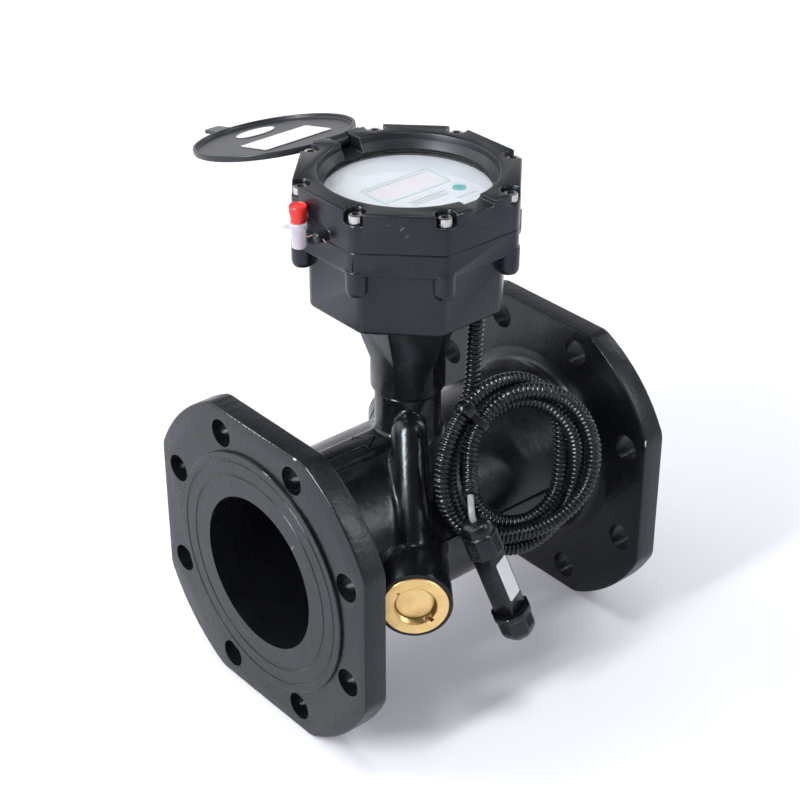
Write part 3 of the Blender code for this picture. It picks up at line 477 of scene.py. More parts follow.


# Pale patches, chips where the paint is worn and, along the flange's top edge and raised face rim, painted
# highlights: centre, half sizes and turn of the patch, share that is pale, and how pale it is
LEVEL = (0, 0, 0)
# The long thin patches along the inlet flange's top edge and the raised face's rim are painted highlights as
# well as paint rubbed off
FLANGE_WEAR_AND_GLINTS = [
    ((-8, 5, 199.8), (0.6, 42, 0.6), LEVEL, 0.49, 0.32), ((-8, -37.8, 200), (1.2, 2.0, 1.2), LEVEL, 0.7, 0.5),
    ((-10, -14, 178.2), (0.5, 15, 1.3), (0.17, 0, 0), 0.49, 0.34),
    ((-10, 59.5, 152), (0.6, 3, 0.7), (0.6, 0, 0), 0.5, 0.3),
    ((-10, -36, 138), (0.5, 0.7, 2), (0.6, 0, 0), 0.52, 0.25),
    ((-2, -100, 58), (1.4, 1.4, 1.6), LEVEL, 0.7, 0.45), ((222, -99.5, 149), (1.2, 1.0, 7), LEVEL, 0.52, 0.6),
    ((224, -100, 170), (1.5, 0.9, 2.5), LEVEL, 0.5, 0.5), ((222, -88, 185), (1.0, 3, 3), LEVEL, 0.45, 0.3)]
SCRATCHES = [
    ((64.6, -47.3, 325), (0.9, 0.25, 3.6), (0.5, 0, 0), 0.60, 0.20),
    ((66.5, -49.2, 320.4), (0.9, 0.22, 2.6), (0.9, 0, 0), 0.6, 0.2),
    ((58.5, -41.2, 327), (1.6, 1.6, 0.35), LEVEL, 0.5, 0.22),
    ((45.5, -9, 323), (0.4, 2.2, 1.2), LEVEL, 0.45, 0.12)]
cast_black = black_paint("cast_black", (0.0050, 0.0058, 0.0072), 0.26, 0.045, 0.15, FLANGE_WEAR_AND_GLINTS)
rough_black = black_paint("rough_black", (0.006, 0.007, 0.0085), 0.34, 0.08, 0.30)
head_black = black_paint("head_black", LIGHT_BLACK, 0.27, 0.012, 0.02, SCRATCHES)
cone_black = black_paint("cone_black", LIGHT_BLACK, 0.42, 0.03, 0.02)
lid_grey = mixed("lid_grey", 0.34, (30, (0.018, 0.021, 0.027), (0.028, 0.031, 0.038)), (1400, 0.012),
                 detail=3, Specular_IOR_Level=0.32)

# Turned brass: the tool's marks run across the boss
brass = Finish("turned_brass", (0.74, 0.52, 0.23), 0.28, 1.0)
brass_turn = brass.add("Mapping", brass.place, Rotation=(0, 0, math.atan2(CROSS.y, CROSS.x)),
                       Scale=(90, 900, 900))
brass_scratch = brass.noise(1.0, 3, 0.7, brass_turn.outputs["Vector"])
brass.colours(brass.ramp(brass.noise(120, 3), 0.35, 0.75), (0.78, 0.56, 0.25), (0.64, 0.43, 0.17))
brass.gloss(brass.ramp(brass_scratch, 0.3, 0.7, 0.30, 0.48))
brass.relief(brass_scratch, 0.02)
turned_brass = brass.material

bright_steel = mixed("bright_steel", 0.2, bump=(2600, 0.004), gloss=(700, 0.14, 0.30), metallic=1.0,
                     colour=(0.50, 0.49, 0.48))
# Darker steel inside the hex sockets: painted shade in the recess, with some grime
socket_shade_and_grime = mixed("socket_shade_and_grime", 0.5, (900, (0.02, 0.019, 0.018), (0.09, 0.085, 0.08)), span=(0.4, 0.7))
conduit_nylon = mixed("conduit_nylon", 0.27, (80, (0.004, 0.0045, 0.0055), (0.009, 0.010, 0.012)),
                      (400, 0.01), Specular_IOR_Level=0.42, Specular_Tint=COOL_SHEEN)
matt_moulding = mixed("matt_moulding", 0.26, (140, (0.004, 0.0045, 0.0055), (0.008, 0.009, 0.011)),
                      (2200, 0.02), (300, 0.20, 0.34), detail=3, Specular_IOR_Level=PAINT_SHEEN,
                      Specular_Tint=COOL_SHEEN)
black_rubber = mixed("black_rubber", 0.72, bump=(1500, 0.02), colour=(0.012, 0.012, 0.012))
red_plastic = mixed("red_plastic", 0.34, bump=(900, 0.02), colour=(0.78, 0.020, 0.012),
                    Subsurface_Weight=0.15, Subsurface_Scale=0.002)
milky_plastic = mixed("milky_plastic", 0.30, bump=(700, 0.03), colour=(0.80, 0.77, 0.82), IOR=1.45,
                      Transmission_Weight=0.35, Subsurface_Weight=0.4, Subsurface_Scale=0.003)
dial_paint = mixed("dial_paint", 0.55, (25, (0.58, 0.61, 0.66), (0.64, 0.67, 0.71)), (3000, 0.004))
lcd_film = mixed("lcd_film", 0.30, (40, (0.60, 0.57, 0.61), (0.70, 0.68, 0.72)))
teal_ink = mixed("teal_ink", 0.5, (900, (0.02, 0.33, 0.31), (0.05, 0.42, 0.39)))
dark_ink = mixed("dark_ink", 0.5, (900, (0.04, 0.045, 0.05), (0.08, 0.085, 0.09)))
white_vinyl = mixed("white_vinyl", 0.42, (60, (0.82, 0.82, 0.83), (0.75, 0.75, 0.77)), (260, 0.02),
                    detail=3, span=(0.35, 0.8))
grey_sheath = mixed("grey_sheath", 0.42, (200, (0.32, 0.33, 0.32), (0.42, 0.43, 0.42)))
clear_glass = mixed("window_glass_clear", 0.03, colour=(0.97, 0.98, 0.98), Transmission_Weight=1.0,
                    IOR=1.46, Alpha=0.16)
circuit_green = mixed("circuit_green", 0.45, (500, (0.015, 0.14, 0.06), (0.05, 0.24, 0.12)),
                      detail=1, span=(0.55, 0.6))
cell_sleeve = mixed("cell_sleeve", 0.35, (90, (0.10, 0.22, 0.14), (0.15, 0.30, 0.19)))
twisted_wire = mixed("twisted_wire", 0.45, (1500, (0.35, 0.09, 0.06), (0.42, 0.38, 0.34)),
                     metallic=0.3, span=(0.4, 0.6))

CAD_FINISHES = {
    "cast_paint": cast_black, "head_paint": head_black, "brass": turned_brass, "steel": bright_steel,
    "rubber": black_rubber, "glass": clear_glass, "dial": dial_paint, "display": lcd_film, "lid": lid_grey,
    "white": white_vinyl, "red": red_plastic, "black_plastic": matt_moulding, "board": circuit_green,
    "cell": cell_sleeve, "grey_cable": grey_sheath}
slot_of = {row["node"]: row["material_slot"] for row in frame["record"]["subparts"]}
for node_name, node in frame["nodes"].items():
    finish = CAD_FINISHES[slot_of[node_name]]
    for index in range(len(node.data.materials)):
        node.data.materials[index] = finish
    if not node.data.materials:
        node.data.materials.append(finish)


# Conduit: the drop from the gland, then three and a quarter turns in one sloping plane

COIL_CENTRE = Vector((138.3, -71.2, 151.5))
COIL_AXIS = Vector((-0.2347, -0.9415, 0.2419)).normalized()
COIL_ALONG = UP.cross(COIL_AXIS).normalized()
COIL_UP = COIL_AXIS.cross(COIL_ALONG)
GLAND = Vector((128.0, -42.0, 251.4))
CONDUIT_R = 5.0
# Radius and height over the plane at every 25 degrees, from 150 degrees on
LAPS = [(46.5, -5.5), (45.5, -5.5), (47, -5), (51, -5), (55, -5), (55.5, -5), (52, -5), (47.5, -4),
        (42.5, -1), (40, 2.5), (39.5, 2.5), (40.5, 0), (40.5, -1.5), (38, -3), (35.5, -4), (33.5, -4.5),
        (33.5, -4.5), (35.5, -4.5), (37.5, -4.5), (39.5, -5), (40.5, -5.5), (39, -6.5), (35, -7.5),
        (35, -7.5), (40, -7.5), (47, -7), (52.5, -4), (55.5, -0.5), (55.5, 2.5), (55, 4.5), (55.5, 5),
        (55, 5.5), (49, 5), (43.5, 5), (43.5, 5), (46, 5.5), (49, 6.5), (50, 6.5), (49.5, 6.5), (49, 6.5),
        (48.5, 6.5), (47.5, 5.5), (44, 5.5), (40, 5), (38, 5)]
TURNS = [(150 + 25 * k, *row) for k, row in enumerate(LAPS)]


def on_coil(degrees, radius, height):
    angle = math.radians(degrees)
    return (COIL_CENTRE + COIL_ALONG * (radius * math.cos(angle)) + COIL_UP * (radius * math.sin(angle))
            + COIL_AXIS * height)


def between(turns, step):
    """Rows at every few degrees, eased between the given ones."""
    rows = []
    ends = [turns[0]] + turns + [turns[-1]]
    for a, b, c, d in zip(ends, ends[1:], ends[2:], ends[3:]):
        count = max(1, round((c[0] - b[0]) / step))
        for k in range(count):
            t = k / count
            row = [b[0] + (c[0] - b[0]) * t]
            for i in (1, 2):
                slope_b = (c[i] - a[i]) / max(c[0] - a[0], 1) * (c[0] - b[0])
                slope_c = (d[i] - b[i]) / max(d[0] - b[0], 1) * (c[0] - b[0])
                row.append((2 * t ** 3 - 3 * t ** 2 + 1) * b[i] + (t ** 3 - 2 * t ** 2 + t) * slope_b
                           + (3 * t ** 2 - 2 * t ** 3) * c[i] + (t ** 3 - t ** 2) * slope_c)
            rows.append(row)
    return rows + [list(turns[-1])]


def smooth_route(points, spacing):
    """Points about one spacing apart on a smooth curve through the route's own points."""
    route = [Vector(p) for p in points]
    ends = [2 * route[0] - route[1]] + route + [2 * route[-1] - route[-2]]
    result = [route[0]]
    for a, b, c, d in zip(ends, ends[1:], ends[2:], ends[3:]):
        steps = max(1, round((c - b).length / spacing))
        for step in range(1, steps + 1):
            t = step / steps
            straight = 2 * b + (c - a) * t
            bend = (2 * a - 5 * b + 4 * c - d) * t * t + (3 * b - 3 * c + d - a) * t ** 3
            result.append((straight + bend) / 2)
    return result


def route_length(points):
    return sum((b - a).length for a, b in zip(points, points[1:]))


def walk(points, stations):
    """Places and directions at given distances along a chain of points."""
    found = []
    index = 0
    passed = 0.0
    for station in stations:
        while index < len(points) - 2 and passed + (points[index + 1] - points[index]).length < station:
            passed += (points[index + 1] - points[index]).length
            index += 1
        here, there = points[index], points[index + 1]
        found.append(here.lerp(there, (station - passed) / (there - here).length))
    return found


def sweep(name, points, radii, sides):
    """Skin rings of the given radii along a chain of points, closed at both ends."""
    mesh = bmesh.new()
    side = None
    rows = []
    for k, (point, radius) in enumerate(zip(points, radii)):
        ahead = (points[min(k + 1, len(points) - 1)] - points[max(k - 1, 0)]).normalized()
        if side is None:
            side = ahead.orthogonal().normalized()
        side = (side - ahead * side.dot(ahead)).normalized()
        other = ahead.cross(side)
        row = []
        for j in range(sides):
            angle = math.tau * j / sides
            outward = side * math.cos(angle) + other * math.sin(angle)
            row.append(mesh.verts.new((point + outward * radius) * MM))
        rows.append(row)
    for low, high in zip(rows, rows[1:]):
        for j in range(sides):
            mesh.faces.new((low[j], low[(j + 1) % sides], high[(j + 1) % sides], high[j]))
    mesh.faces.new(reversed(rows[0]))
    mesh.faces.new(rows[-1])
    return piece_of(name, mesh)


# One pitch of the conduit: share of the pitch, and radius
RIB = ((0.0, 3.95), (0.15, 3.95), (0.28, 4.55), (0.40, 4.9), (0.56, 5.0), (0.72, 4.9), (0.86, 4.5))


def ribbed_conduit(name, route, pitch=3.1):
    """Corrugated tube: each pitch has a valley and a flat-topped rib."""
    total = route_length(route)
    count = round(total / pitch)
    pitch = total / count
    stations = [(k + part) * pitch for k in range(count) for part, radius in RIB] + [total]
    radii = [radius for part, radius in RIB] * count + [4.15]
    return sweep(name, walk(route, stations), radii, 20)


coil_rows = between(TURNS, 6)
coil = [on_coil(*row) for row in coil_rows]
drop = [GLAND, (128, -42, 243), (126.6, -42.6, 232), (124.5, -44.0, 219), (120.6, -46.6, 203),
        on_coil(128, 47.5, -8)]
# Past the tie the free end leans out of the coil, toward the connector
lean = [(102.4, -66.2, 164.5), (97.2, -71.8, 156.2), (92.6, -77.6, 152.0)]
held = [point for point, row in zip(coil, coil_rows) if row[0] <= 1226]
conduit_route = smooth_route(drop + coil[:2], 5)[:-1] + held[1:-2] + smooth_route(held[-2:] + lean, 3)
conduit_route = walk(conduit_route, [route_length(conduit_route) * k / 240 for k in range(241)])
conduit = ribbed_conduit("ribbed_conduit", conduit_route)
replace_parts(wear(smooth(conduit, 50), conduit_nylon), "conduit_drop", "conduit_coil")

# Cable connector frame
PLUG_TOP = Vector((85.6, -88.0, 142.8))
PLUG_DOWN = Vector((0.272, -0.204, -0.94)).normalized()
PLUG_TURN = Vector((-0.558, -0.653, 0.512))
plug_frame = {"origin": PLUG_TOP, "axis": -PLUG_DOWN, "x_axis": PLUG_TURN}


def connector_nut(name, stack, panels, flat_low, flat_high):
    """Eight-sided nut lofted from (apothem, corner, height) rows, with knurled panels on its sides."""
    mesh = bmesh.new()
    rows = []
    for apothem, corner, height in stack:
        ring = column("ring", 8, apothem, height, height + 1, corner, 3)
        low = [v.co.copy() for v in ring.data.vertices if abs(v.co.z - height * MM) < 1e-6]
        low.sort(key=lambda co: math.atan2(co.y, co.x))
        rows.append([mesh.verts.new(co) for co in low])
        bpy.data.objects.remove(ring, do_unlink=True)
    for one, two in zip(rows, rows[1:]):
        for k in range(len(one)):
            j = (k + 1) % len(one)
            mesh.faces.new((one[k], one[j], two[j], two[k]))
    mesh.faces.new(rows[0])
    mesh.faces.new(rows[-1])
    bmesh.ops.recalc_face_normals(mesh, faces=mesh.faces)
    piece = piece_of(name, mesh)
    hold(piece)
    bpy.ops.object.mode_set(mode="EDIT")

    def is_panel(face):
        middle = face.calc_center_median() / MM
        around_angle = math.degrees(math.atan2(face.normal.y, face.normal.x)) % 360
        flat = min(abs((around_angle - wanted + 180) % 360 - 180) for wanted in panels) < 4
        return flat and flat_low < middle.z < flat_high and face.calc_area() > 2e-5

    pick(piece, "FACE", is_panel)
    bpy.ops.mesh.inset(thickness=0.9 * MM, depth=0, use_individual=True)
    bpy.ops.mesh.subdivide(number_cuts=5)
    bpy.ops.mesh.poke(offset=0.55 * MM)
    rest()
    stand(piece, **plug_frame)
    return wear(smooth(piece, 22), matt_moulding)


def make_connector():
    top = [(10.6, 2.0, -24.5), (10.9, 2.0, -24.0), (10.9, 2.0, -10.4), (10.5, 4.0, -9.4), (9.7, 7.5, -8.6),
           (9.7, 8.5, -6.2), (9.2, 8.2, -4.2), (8.2, 7.3, -2.6), (6.8, 6.0, -1.6), (4.6, 4.0, -1.0)]
    nut_top = connector_nut("cable_nut_top", top, (45, 315, 135, 225), -23, -11)
    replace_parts(nut_top, "connector_nut_top")
    barrel = column("cable_barrel", 4, 7.4, -70.2, -24.8, 1.2, 4, first=0)
    ease_edges(barrel, 0.4, 2, 60)
    stand(barrel, **plug_frame)
    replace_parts(wear(smooth(barrel, 30), matt_moulding), "connector_barrel")
    low = [(11.4, 2.0, -70.5), (11.9, 2.0, -71.0), (11.9, 2.0, -73.5), (11.2, 2.0, -75.0), (11.0, 2.0, -84),
           (10.4, 2.6, -86.5), (9.0, 3.6, -89.0), (7.4, 3.0, -91.0), (5.6, 2.2, -92.4), (4.1, 1.6, -93.0)]
    nut_low = connector_nut("cable_nut_low", low, (45, 315, 135, 225), -83.5, -75.5)
    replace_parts(nut_low, "connector_nut_bottom")
    face = Vector((1, 1, 0)).normalized()
    label = plate("cable_label", rounded_box(-5.4, -60, 5.4, -31, 1.4), 0, 0.35, origin=face * 7.7,
                  axis=face, x_axis=(-1, 1, 0))
    stand(label, **plug_frame)
    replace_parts(wear(smooth(label), white_vinyl), "connector_label")
    return [nut_top, barrel, nut_low, label]


connector_pieces = make_connector()
conduit_end = conduit_route[-1]
tail_way = (conduit_end - conduit_route[-3]).normalized()
tail_route = smooth_route([conduit_end + tail_way * 0.4, conduit_end + tail_way * 4, (85.6, -86.2, 148.6)]
                          + [PLUG_TOP + PLUG_DOWN * depth for depth in (-1.5, 5, 60)], 1.5)
tail = sweep("grey_tail", tail_route, [2.0] * len(tail_route), 20)
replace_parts(wear(smooth(tail, 60), grey_sheath), "tail_cable")


def make_tie():
    """Nylon strap round the four strands at one place of the coil, with its small lock."""
    place = 127
    strand = CONDUIT_R + 0.15
    centres = [(47.6, -7.6)]
    for wanted in (place + 360, place + 720, place + 1080):
        near = min(between(TURNS, 3), key=lambda row: abs(row[0] - wanted))
        centres.append((near[1], near[2]))
    cloud = []
    for r, h in centres:
        for angle in (math.tau * k / 40 for k in range(40)):
            cloud.append((r + strand * math.cos(angle), h + strand * math.sin(angle)))
    hull = outline_round(cloud)
    angle = math.radians(place)
    radial = COIL_ALONG * math.cos(angle) + COIL_UP * math.sin(angle)
    tangent = radial.cross(COIL_AXIS)
    strap = draw("bundle_tie", [(r, h, 0) for r, h in hull + hull[:1]])
    bpy.ops.mesh.extrude_region_move(TRANSFORM_OT_translate={"value": mm(0, 0, 4.2)})
    bpy.ops.mesh.select_all(action="SELECT")
    bpy.ops.mesh.remove_doubles(threshold=0.00001)
    bpy.ops.mesh.normals_make_consistent(inside=False)
    rest()
    apply(strap, "SOLIDIFY", thickness=1.1 * MM, offset=1.0)
    ease_edges(strap, 0.2, 2, 50)
    front = max(hull, key=lambda p: p[1] + 0.35 * p[0])
    lock = box("tie_lock", (front[0] - 3.2, front[1] + 0.4, -1.2), (front[0] + 2.6, front[1] + 4.6, 5.4), 0.5)
    strap = joined("bundle_tie", [strap, lock])
    stand(strap, COIL_CENTRE - tangent * 2.1, tangent, radial)
    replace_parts(wear(smooth(strap), matt_moulding), "cable_tie")


def outline_round(points):
    """The convex outline round a cloud of flat points, counter-clockwise."""
    points = sorted(set(points))

    def half(order):
        kept = []
        for p in order:
            while len(kept) > 1 and ((kept[-1][0] - kept[-2][0]) * (p[1] - kept[-2][1])
                                     - (kept[-1][1] - kept[-2][1]) * (p[0] - kept[-2][0])) <= 0:
                kept.pop()
            kept.append(p)
        return kept[:-1]

    return half(points) + half(points[::-1])


make_tie()


# Cast body


def flange(name, back):
    """Flange standing across X at x = 0, cut flat on four sides; back is the side away from the pipe."""
    rest()
    bpy.ops.mesh.primitive_cylinder_add(vertices=96, radius=FLANGE_R * MM, depth=FLANGE_THICK * MM,
                                        rotation=(0, math.pi / 2, 0))
    piece = settle(name_piece(name))
    bpy.ops.object.mode_set(mode="EDIT")
    for normal in ((0, 1, 0), (0, -1, 0), (0, 0, 1), (0, 0, -1)):
        bpy.ops.mesh.select_all(action="SELECT")
        bpy.ops.mesh.bisect(plane_co=mm(normal) * FLANGE_FLAT, plane_no=normal, use_fill=True,
                            clear_outer=True)

    def corner(edge):
        one, two = edge.verts
        middle = (one.co + two.co) / 2 / MM
        lies_along = abs((two.co - one.co).normalized().x) > 0.99
        on_flat = max(abs(middle.y), abs(middle.z)) > FLANGE_FLAT - 0.2
        return lies_along and on_flat and abs(edge.calc_face_angle(0)) > 0.2

    pick(piece, "EDGE", corner)
    bpy.ops.mesh.bevel(offset=3.0 * MM, segments=6, clamp_overlap=False)
    rest()
    for end in (-8, 8):
        round_rim(piece, end, 1.3, 4, axis=0)
    face = [(0, 0), (79, 0), (79, 1.3), (78.8, 1.7), (78.3, 2.0), (74.6, 2.0), (74.0, 1.55), (73.2, 1.55),
            (72.6, 2.0), (65.1, 2.0), (64.5, 1.55), (63.7, 1.55), (63.1, 2.0), (0, 2.0)]
    add(piece, turned("raised_face", face, 128, origin=(back * 7.995, 0, 0), axis=(back, 0, 0)))
    holes = [rod("hole", BOLT_HOLE_R, -13, 13, 40, origin=(0, y, z), axis=(1, 0, 0))
             for y, z in around(8, BOLT_CIRCLE)]
    cut(piece, joined("bolt_holes", holes))
    return piece


def make_body():
    root = [(73.5, 4), (70, 8.2)] + arc(67.5, 17, 9, 270, 180, 6)
    profile = [(0, 4)] + root + [(58.05, 60), (58.05, 115), (58.05, 170)]
    profile += [(r, OUTLET_X - x) for r, x in reversed(root)] + [(0, OUTLET_X - 4)]
    body = turned("meter_casting", profile, 96, origin=(0, 0, PIPE_Z), axis=(1, 0, 0))
    tools = [rod("stem", 20.8, 105, 188.1, 48, **OVER_HEAD)]
    for side in (1, -1):
        top = Vector((HEAD_X, 0, 169)) + CROSS * side * 28
        foot = Vector((HEAD_X, 0, 106.4)) + CROSS * side * 80
        length = (foot - top).length
        duct = [(0, -DUCT_R)] + arc(0, 0, DUCT_R, -75, 0, 5) + [(DUCT_R, length), (0, length)]
        tools.append(turned("duct", duct, 32, origin=top, axis=foot - top))
        tools.append(rod("boss", 22.5, 40, 106, 48, origin=(HEAD_X, 0, PIPE_Z), axis=CROSS * side))
    tools.append(box("pad", (3, -10, PIPE_Z + 27), (HEAD_X - 9, 10, 160)))
    add(body, *tools)
    apply(body, "REMESH", mode="VOXEL", voxel_size=1.75 * MM, adaptivity=0.0)
    apply(body, "SMOOTH", factor=0.5, iterations=7)
    cutters = [rod("bore", BORE_R, -20, 260, 96, origin=(-10, 0, PIPE_Z), axis=(1, 0, 0))]
    for side in (1, -1):
        seat = [(0, 64), (9.3, 64), (9.3, 81), (15, 81), (15, 93.9), (20.5, 93.9), (20.5, 122), (0, 122)]
        cutters.append(turned("seat", seat, 64, origin=(HEAD_X, 0, PIPE_Z), axis=CROSS * side))
    cut(body, joined("cutters", cutters))
    hold(body)
    bpy.ops.object.mode_set(mode="EDIT")
    for place, way in ((7.9, -1), (OUTLET_X - 7.9, 1)):
        bpy.ops.mesh.select_all(action="SELECT")
        bpy.ops.mesh.bisect(plane_co=mm(place, 0, 0), plane_no=(way, 0, 0), clear_outer=True)
    rest()
    smooth(body, 40)
    parts = [body]
    for middle, back, label in ((0, -1, "inlet"), (OUTLET_X, 1, "outlet")):
        piece = flange(f"{label}_flange", back)
        piece.location = mm(middle, 0, PIPE_Z)
        settle(piece)
        cut(piece, rod("bore", BORE_R, -20, 20, 96, origin=(middle, 0, PIPE_Z), axis=(1, 0, 0)))
        smooth(piece, 30)
        parts.append(piece)
    for side in (1, -1):
        sleeve = [(20.5, 95), (22.75, 95), (22.75, 110), (22.45, 110.8), (21.9, 111), (20.9, 111),
                  (20.5, 110.6)]
        end = turned("boss_end", sleeve, 96, ring=True, origin=(HEAD_X, 0, PIPE_Z), axis=CROSS * side)
        parts.append(smooth(end, 30))
    outline = [(43, -4.5), (71, -4.5), (71, -8.3), (83, -0.6), (83, 0.6), (71, 8.3), (71, 4.5), (43, 4.5)]
    arrow = plate("flow_arrow", outline, 157, 161.2)
    ease_edges(arrow, 0.6, 3, 50)
    parts.append(smooth(arrow, 40))
    for side in (-1, 1):
        ridge = box("parting_line", (20, side * 57.6 - 1.1, 107.4), (202, side * 57.6 + 0.9, 108.9), 0.35)
        parts.append(smooth(ridge, 60))
    piece = wear(joined("meter_casting", parts), cast_black)

    def on_rim(face, middle):
        beside = min(abs(middle.x), abs(middle.x - OUTLET_X)) < 7.2
        return beside and math.hypot(middle.y, middle.z - PIPE_Z) > 98 and abs(face.normal.x) < 0.7

    paint_faces(piece, rough_black, on_rim)
    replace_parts(piece, "meter_body")


make_body()


# Display head


def octagon_block(name, apothem, corner, low, high, **place):
    return column(name, 8, apothem, low, high, corner, 6, **place)


def make_housing():
    floor_z = 252.2
    ring_z = 294.2
    shell = octagon_block("head_housing_cast", 57, 8, floor_z, 300)
    round_rim(shell, floor_z, 2.6, 4)
    ring = octagon_block("rim_ring", HEAD_APOTHEM, 7, ring_z, SEAM_Z)
    round_rim(ring, ring_z, 0.9, 3)
    round_rim(ring, SEAM_Z, 0.25, 2)
    tools = [ring]
    for x, y in around(8, SCREW_CIRCLE):
        profile = [(0, 280.2), (3.6, 280.2), (5.3, 280.9), (6.2, 282.4), (6.5, 284.2), (6.5, 297), (0, 297)]
        tools.append(turned("screw_boss", profile, 32, origin=(x, y, 0)))
    add(shell, *tools)
    funnel = column("funnel", 6, 35.2, 208.5, 257, 2.5, 4, first=30)
    shape_funnel(funnel)
    collar = [(0, 188.3), (21.6, 188.3), (22.8, 188.8), (23.3, 190), (23.3, 222), (0, 222)]
    ease_edges(shell, 0.7, 3, 38)
    add(shell, funnel, turned("collar", collar, 64))
    well = octagon_block("well", 53.5, 10, 259, 320)
    neck = [(0, 180), (17.8, 180), (17.8, 206.3), (9, 206.3), (9, 211), (19.5, 211), (19.5, 262), (0, 262)]
    cut(shell, well, turned("neck", neck, 48), rod("gland_hole", 6, 250, 268, 32, origin=(18, -42, 0)))
    stand(shell, **OVER_HEAD)
    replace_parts(wear(smooth(shell, 32), head_black), "head_housing")


def shape_funnel(funnel):
    """Pull the straight hexagon in below: narrow at the collar, wide under the box."""
    hold(funnel)
    bpy.ops.object.mode_set(mode="EDIT")
    bpy.ops.mesh.select_all(action="SELECT")
    bpy.ops.mesh.bisect(plane_co=mm(0, 0, 217), plane_no=(0, 0, 1))
    rest()
    for vertex in funnel.data.vertices:
        height = vertex.co.z / MM
        if height < 209:
            narrow(vertex, 20.4 / 35.2)
        elif height < 220:
            narrow(vertex, 22.95 / 35.2)


def make_bezel():
    cover = octagon_block("bezel_cast", HEAD_APOTHEM, 7, 307, COVER_TOP)
    round_rim(cover, COVER_TOP, 1.3, 4)
    outline = [(56, 324.3)] + arc(HINGE_Y, HINGE_Z, 4.5, -90, 90, 12) + [(56, 332.4)]
    ears = []
    for low, high in ((-16.5, -7.3), (7.3, 16.5)):
        ear = plate("ear", outline, low, high)
        ear.matrix_world = SIDEWAYS
        ears.append(settle(ear))
    lug = turned("seal_lug", [(0, 0), (2.6, 0), (3.1, 0.25), (3.3, 0.8), (3.3, 11), (0, 11)], 40,
                 origin=(-74, -5.6, 312.9), axis=(1, 0, 0))
    add(cover, *ears, lug)
    window = [(0, 300), (54.3, 300), (54.3, 322.9), (49.3, 322.9), (49.3, 324.2), (52.1, 328.5), (52.6, 329),
              (53.9, 335), (0, 335)]
    cut(cover, turned("window", window, 120), box("channel", (-7, 44, 323.8), (7, 85, 340)),
        box("notch", (-8, -85, 330), (8, -44, 340)))
    pockets = []
    holes = []
    outline = arc(0, 0, 5.9, 90, 270, 16) + [(21, -5.9), (21, 5.9)]
    for index, (x, y) in enumerate(around(8, SCREW_CIRCLE)):
        pocket = plate("pocket", outline, 325.5, 341)
        angle = math.radians(22.5 + 45 * index)
        pocket.matrix_world = Matrix.Translation(mm(x, y, 0)) @ Matrix.Rotation(angle, 4, "Z")
        pockets.append(settle(pocket))
        holes.append(rod("hole", 2.8, 305, 330, 24, origin=(x, y, 0)))
    cut(cover, joined("pockets", pockets), joined("holes", holes))
    cut(cover, rod("pin_hole", PIN_HOLE_R, -30, 30, 24, origin=(0, HINGE_Y, HINGE_Z), axis=(1, 0, 0)),
        rod("lug_hole", 0.9, -8, 8, 16, origin=(-71, -5.6, 312.9), axis=(0, 1, 0)))
    ease_edges(cover, 1.0, 3, 38)
    cut(cover, box("below", (-90, -90, 300), (90, 90, SEAM_Z + 0.3)))
    for vertex in cover.data.vertices:
        vertex.co.z = min(vertex.co.z, COVER_TOP * MM)
    stand(cover, **OVER_HEAD)
    wear(smooth(cover, 32), head_black)
    paint_faces(cover, cone_black,
                lambda face, middle: math.hypot(middle.x - HEAD_X, middle.y) < 53.6 and middle.z > 322)
    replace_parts(cover, "bezel_cover")


make_housing()
make_bezel()


def make_screws():
    """Socket-head screws in the pockets, modelled once and copied."""
    profile = [(0, -35), (2.2, -35), (2.5, -34.6), (2.5, 0), (4.0, 0), (4.25, 0.25), (4.25, 4.4), (4.05, 4.8),
               (3.6, 5), (0, 5)]
    screw = turned("screw", profile, 48)
    for vertex in screw.data.vertices:
        step = round(math.degrees(math.atan2(vertex.co.y, vertex.co.x)) / 7.5)
        if step % 2 and vertex.co.xy.length > 4.2 * MM:
            narrow(vertex, 0.94)
    cut(screw, column("hexagon", 6, 2.1, 2.2, 9))
    smooth(screw, 30)
    for index, (x, y) in enumerate(around(8, SCREW_CIRCLE), 1):
        one = copy_of(screw, f"socket_screw_{index}")
        seat = Vector((HEAD_X + x, y, 325.8))
        one.matrix_world = Matrix.Translation(mm(seat)) @ Matrix.Rotation(0.7 * index, 4, "Z")
        wear(settle(one), bright_steel)
        # The socket's inside gets the darker finish: painted shade in the recess, with some grime
        paint_faces(one, socket_shade_and_grime,
                    lambda face, middle: (middle - seat).xy.length < 2.3 and 2 < middle.z - seat.z < 4.95)
        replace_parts(one, f"cover_screw_{index}")
    bpy.data.objects.remove(screw, do_unlink=True)


make_screws()


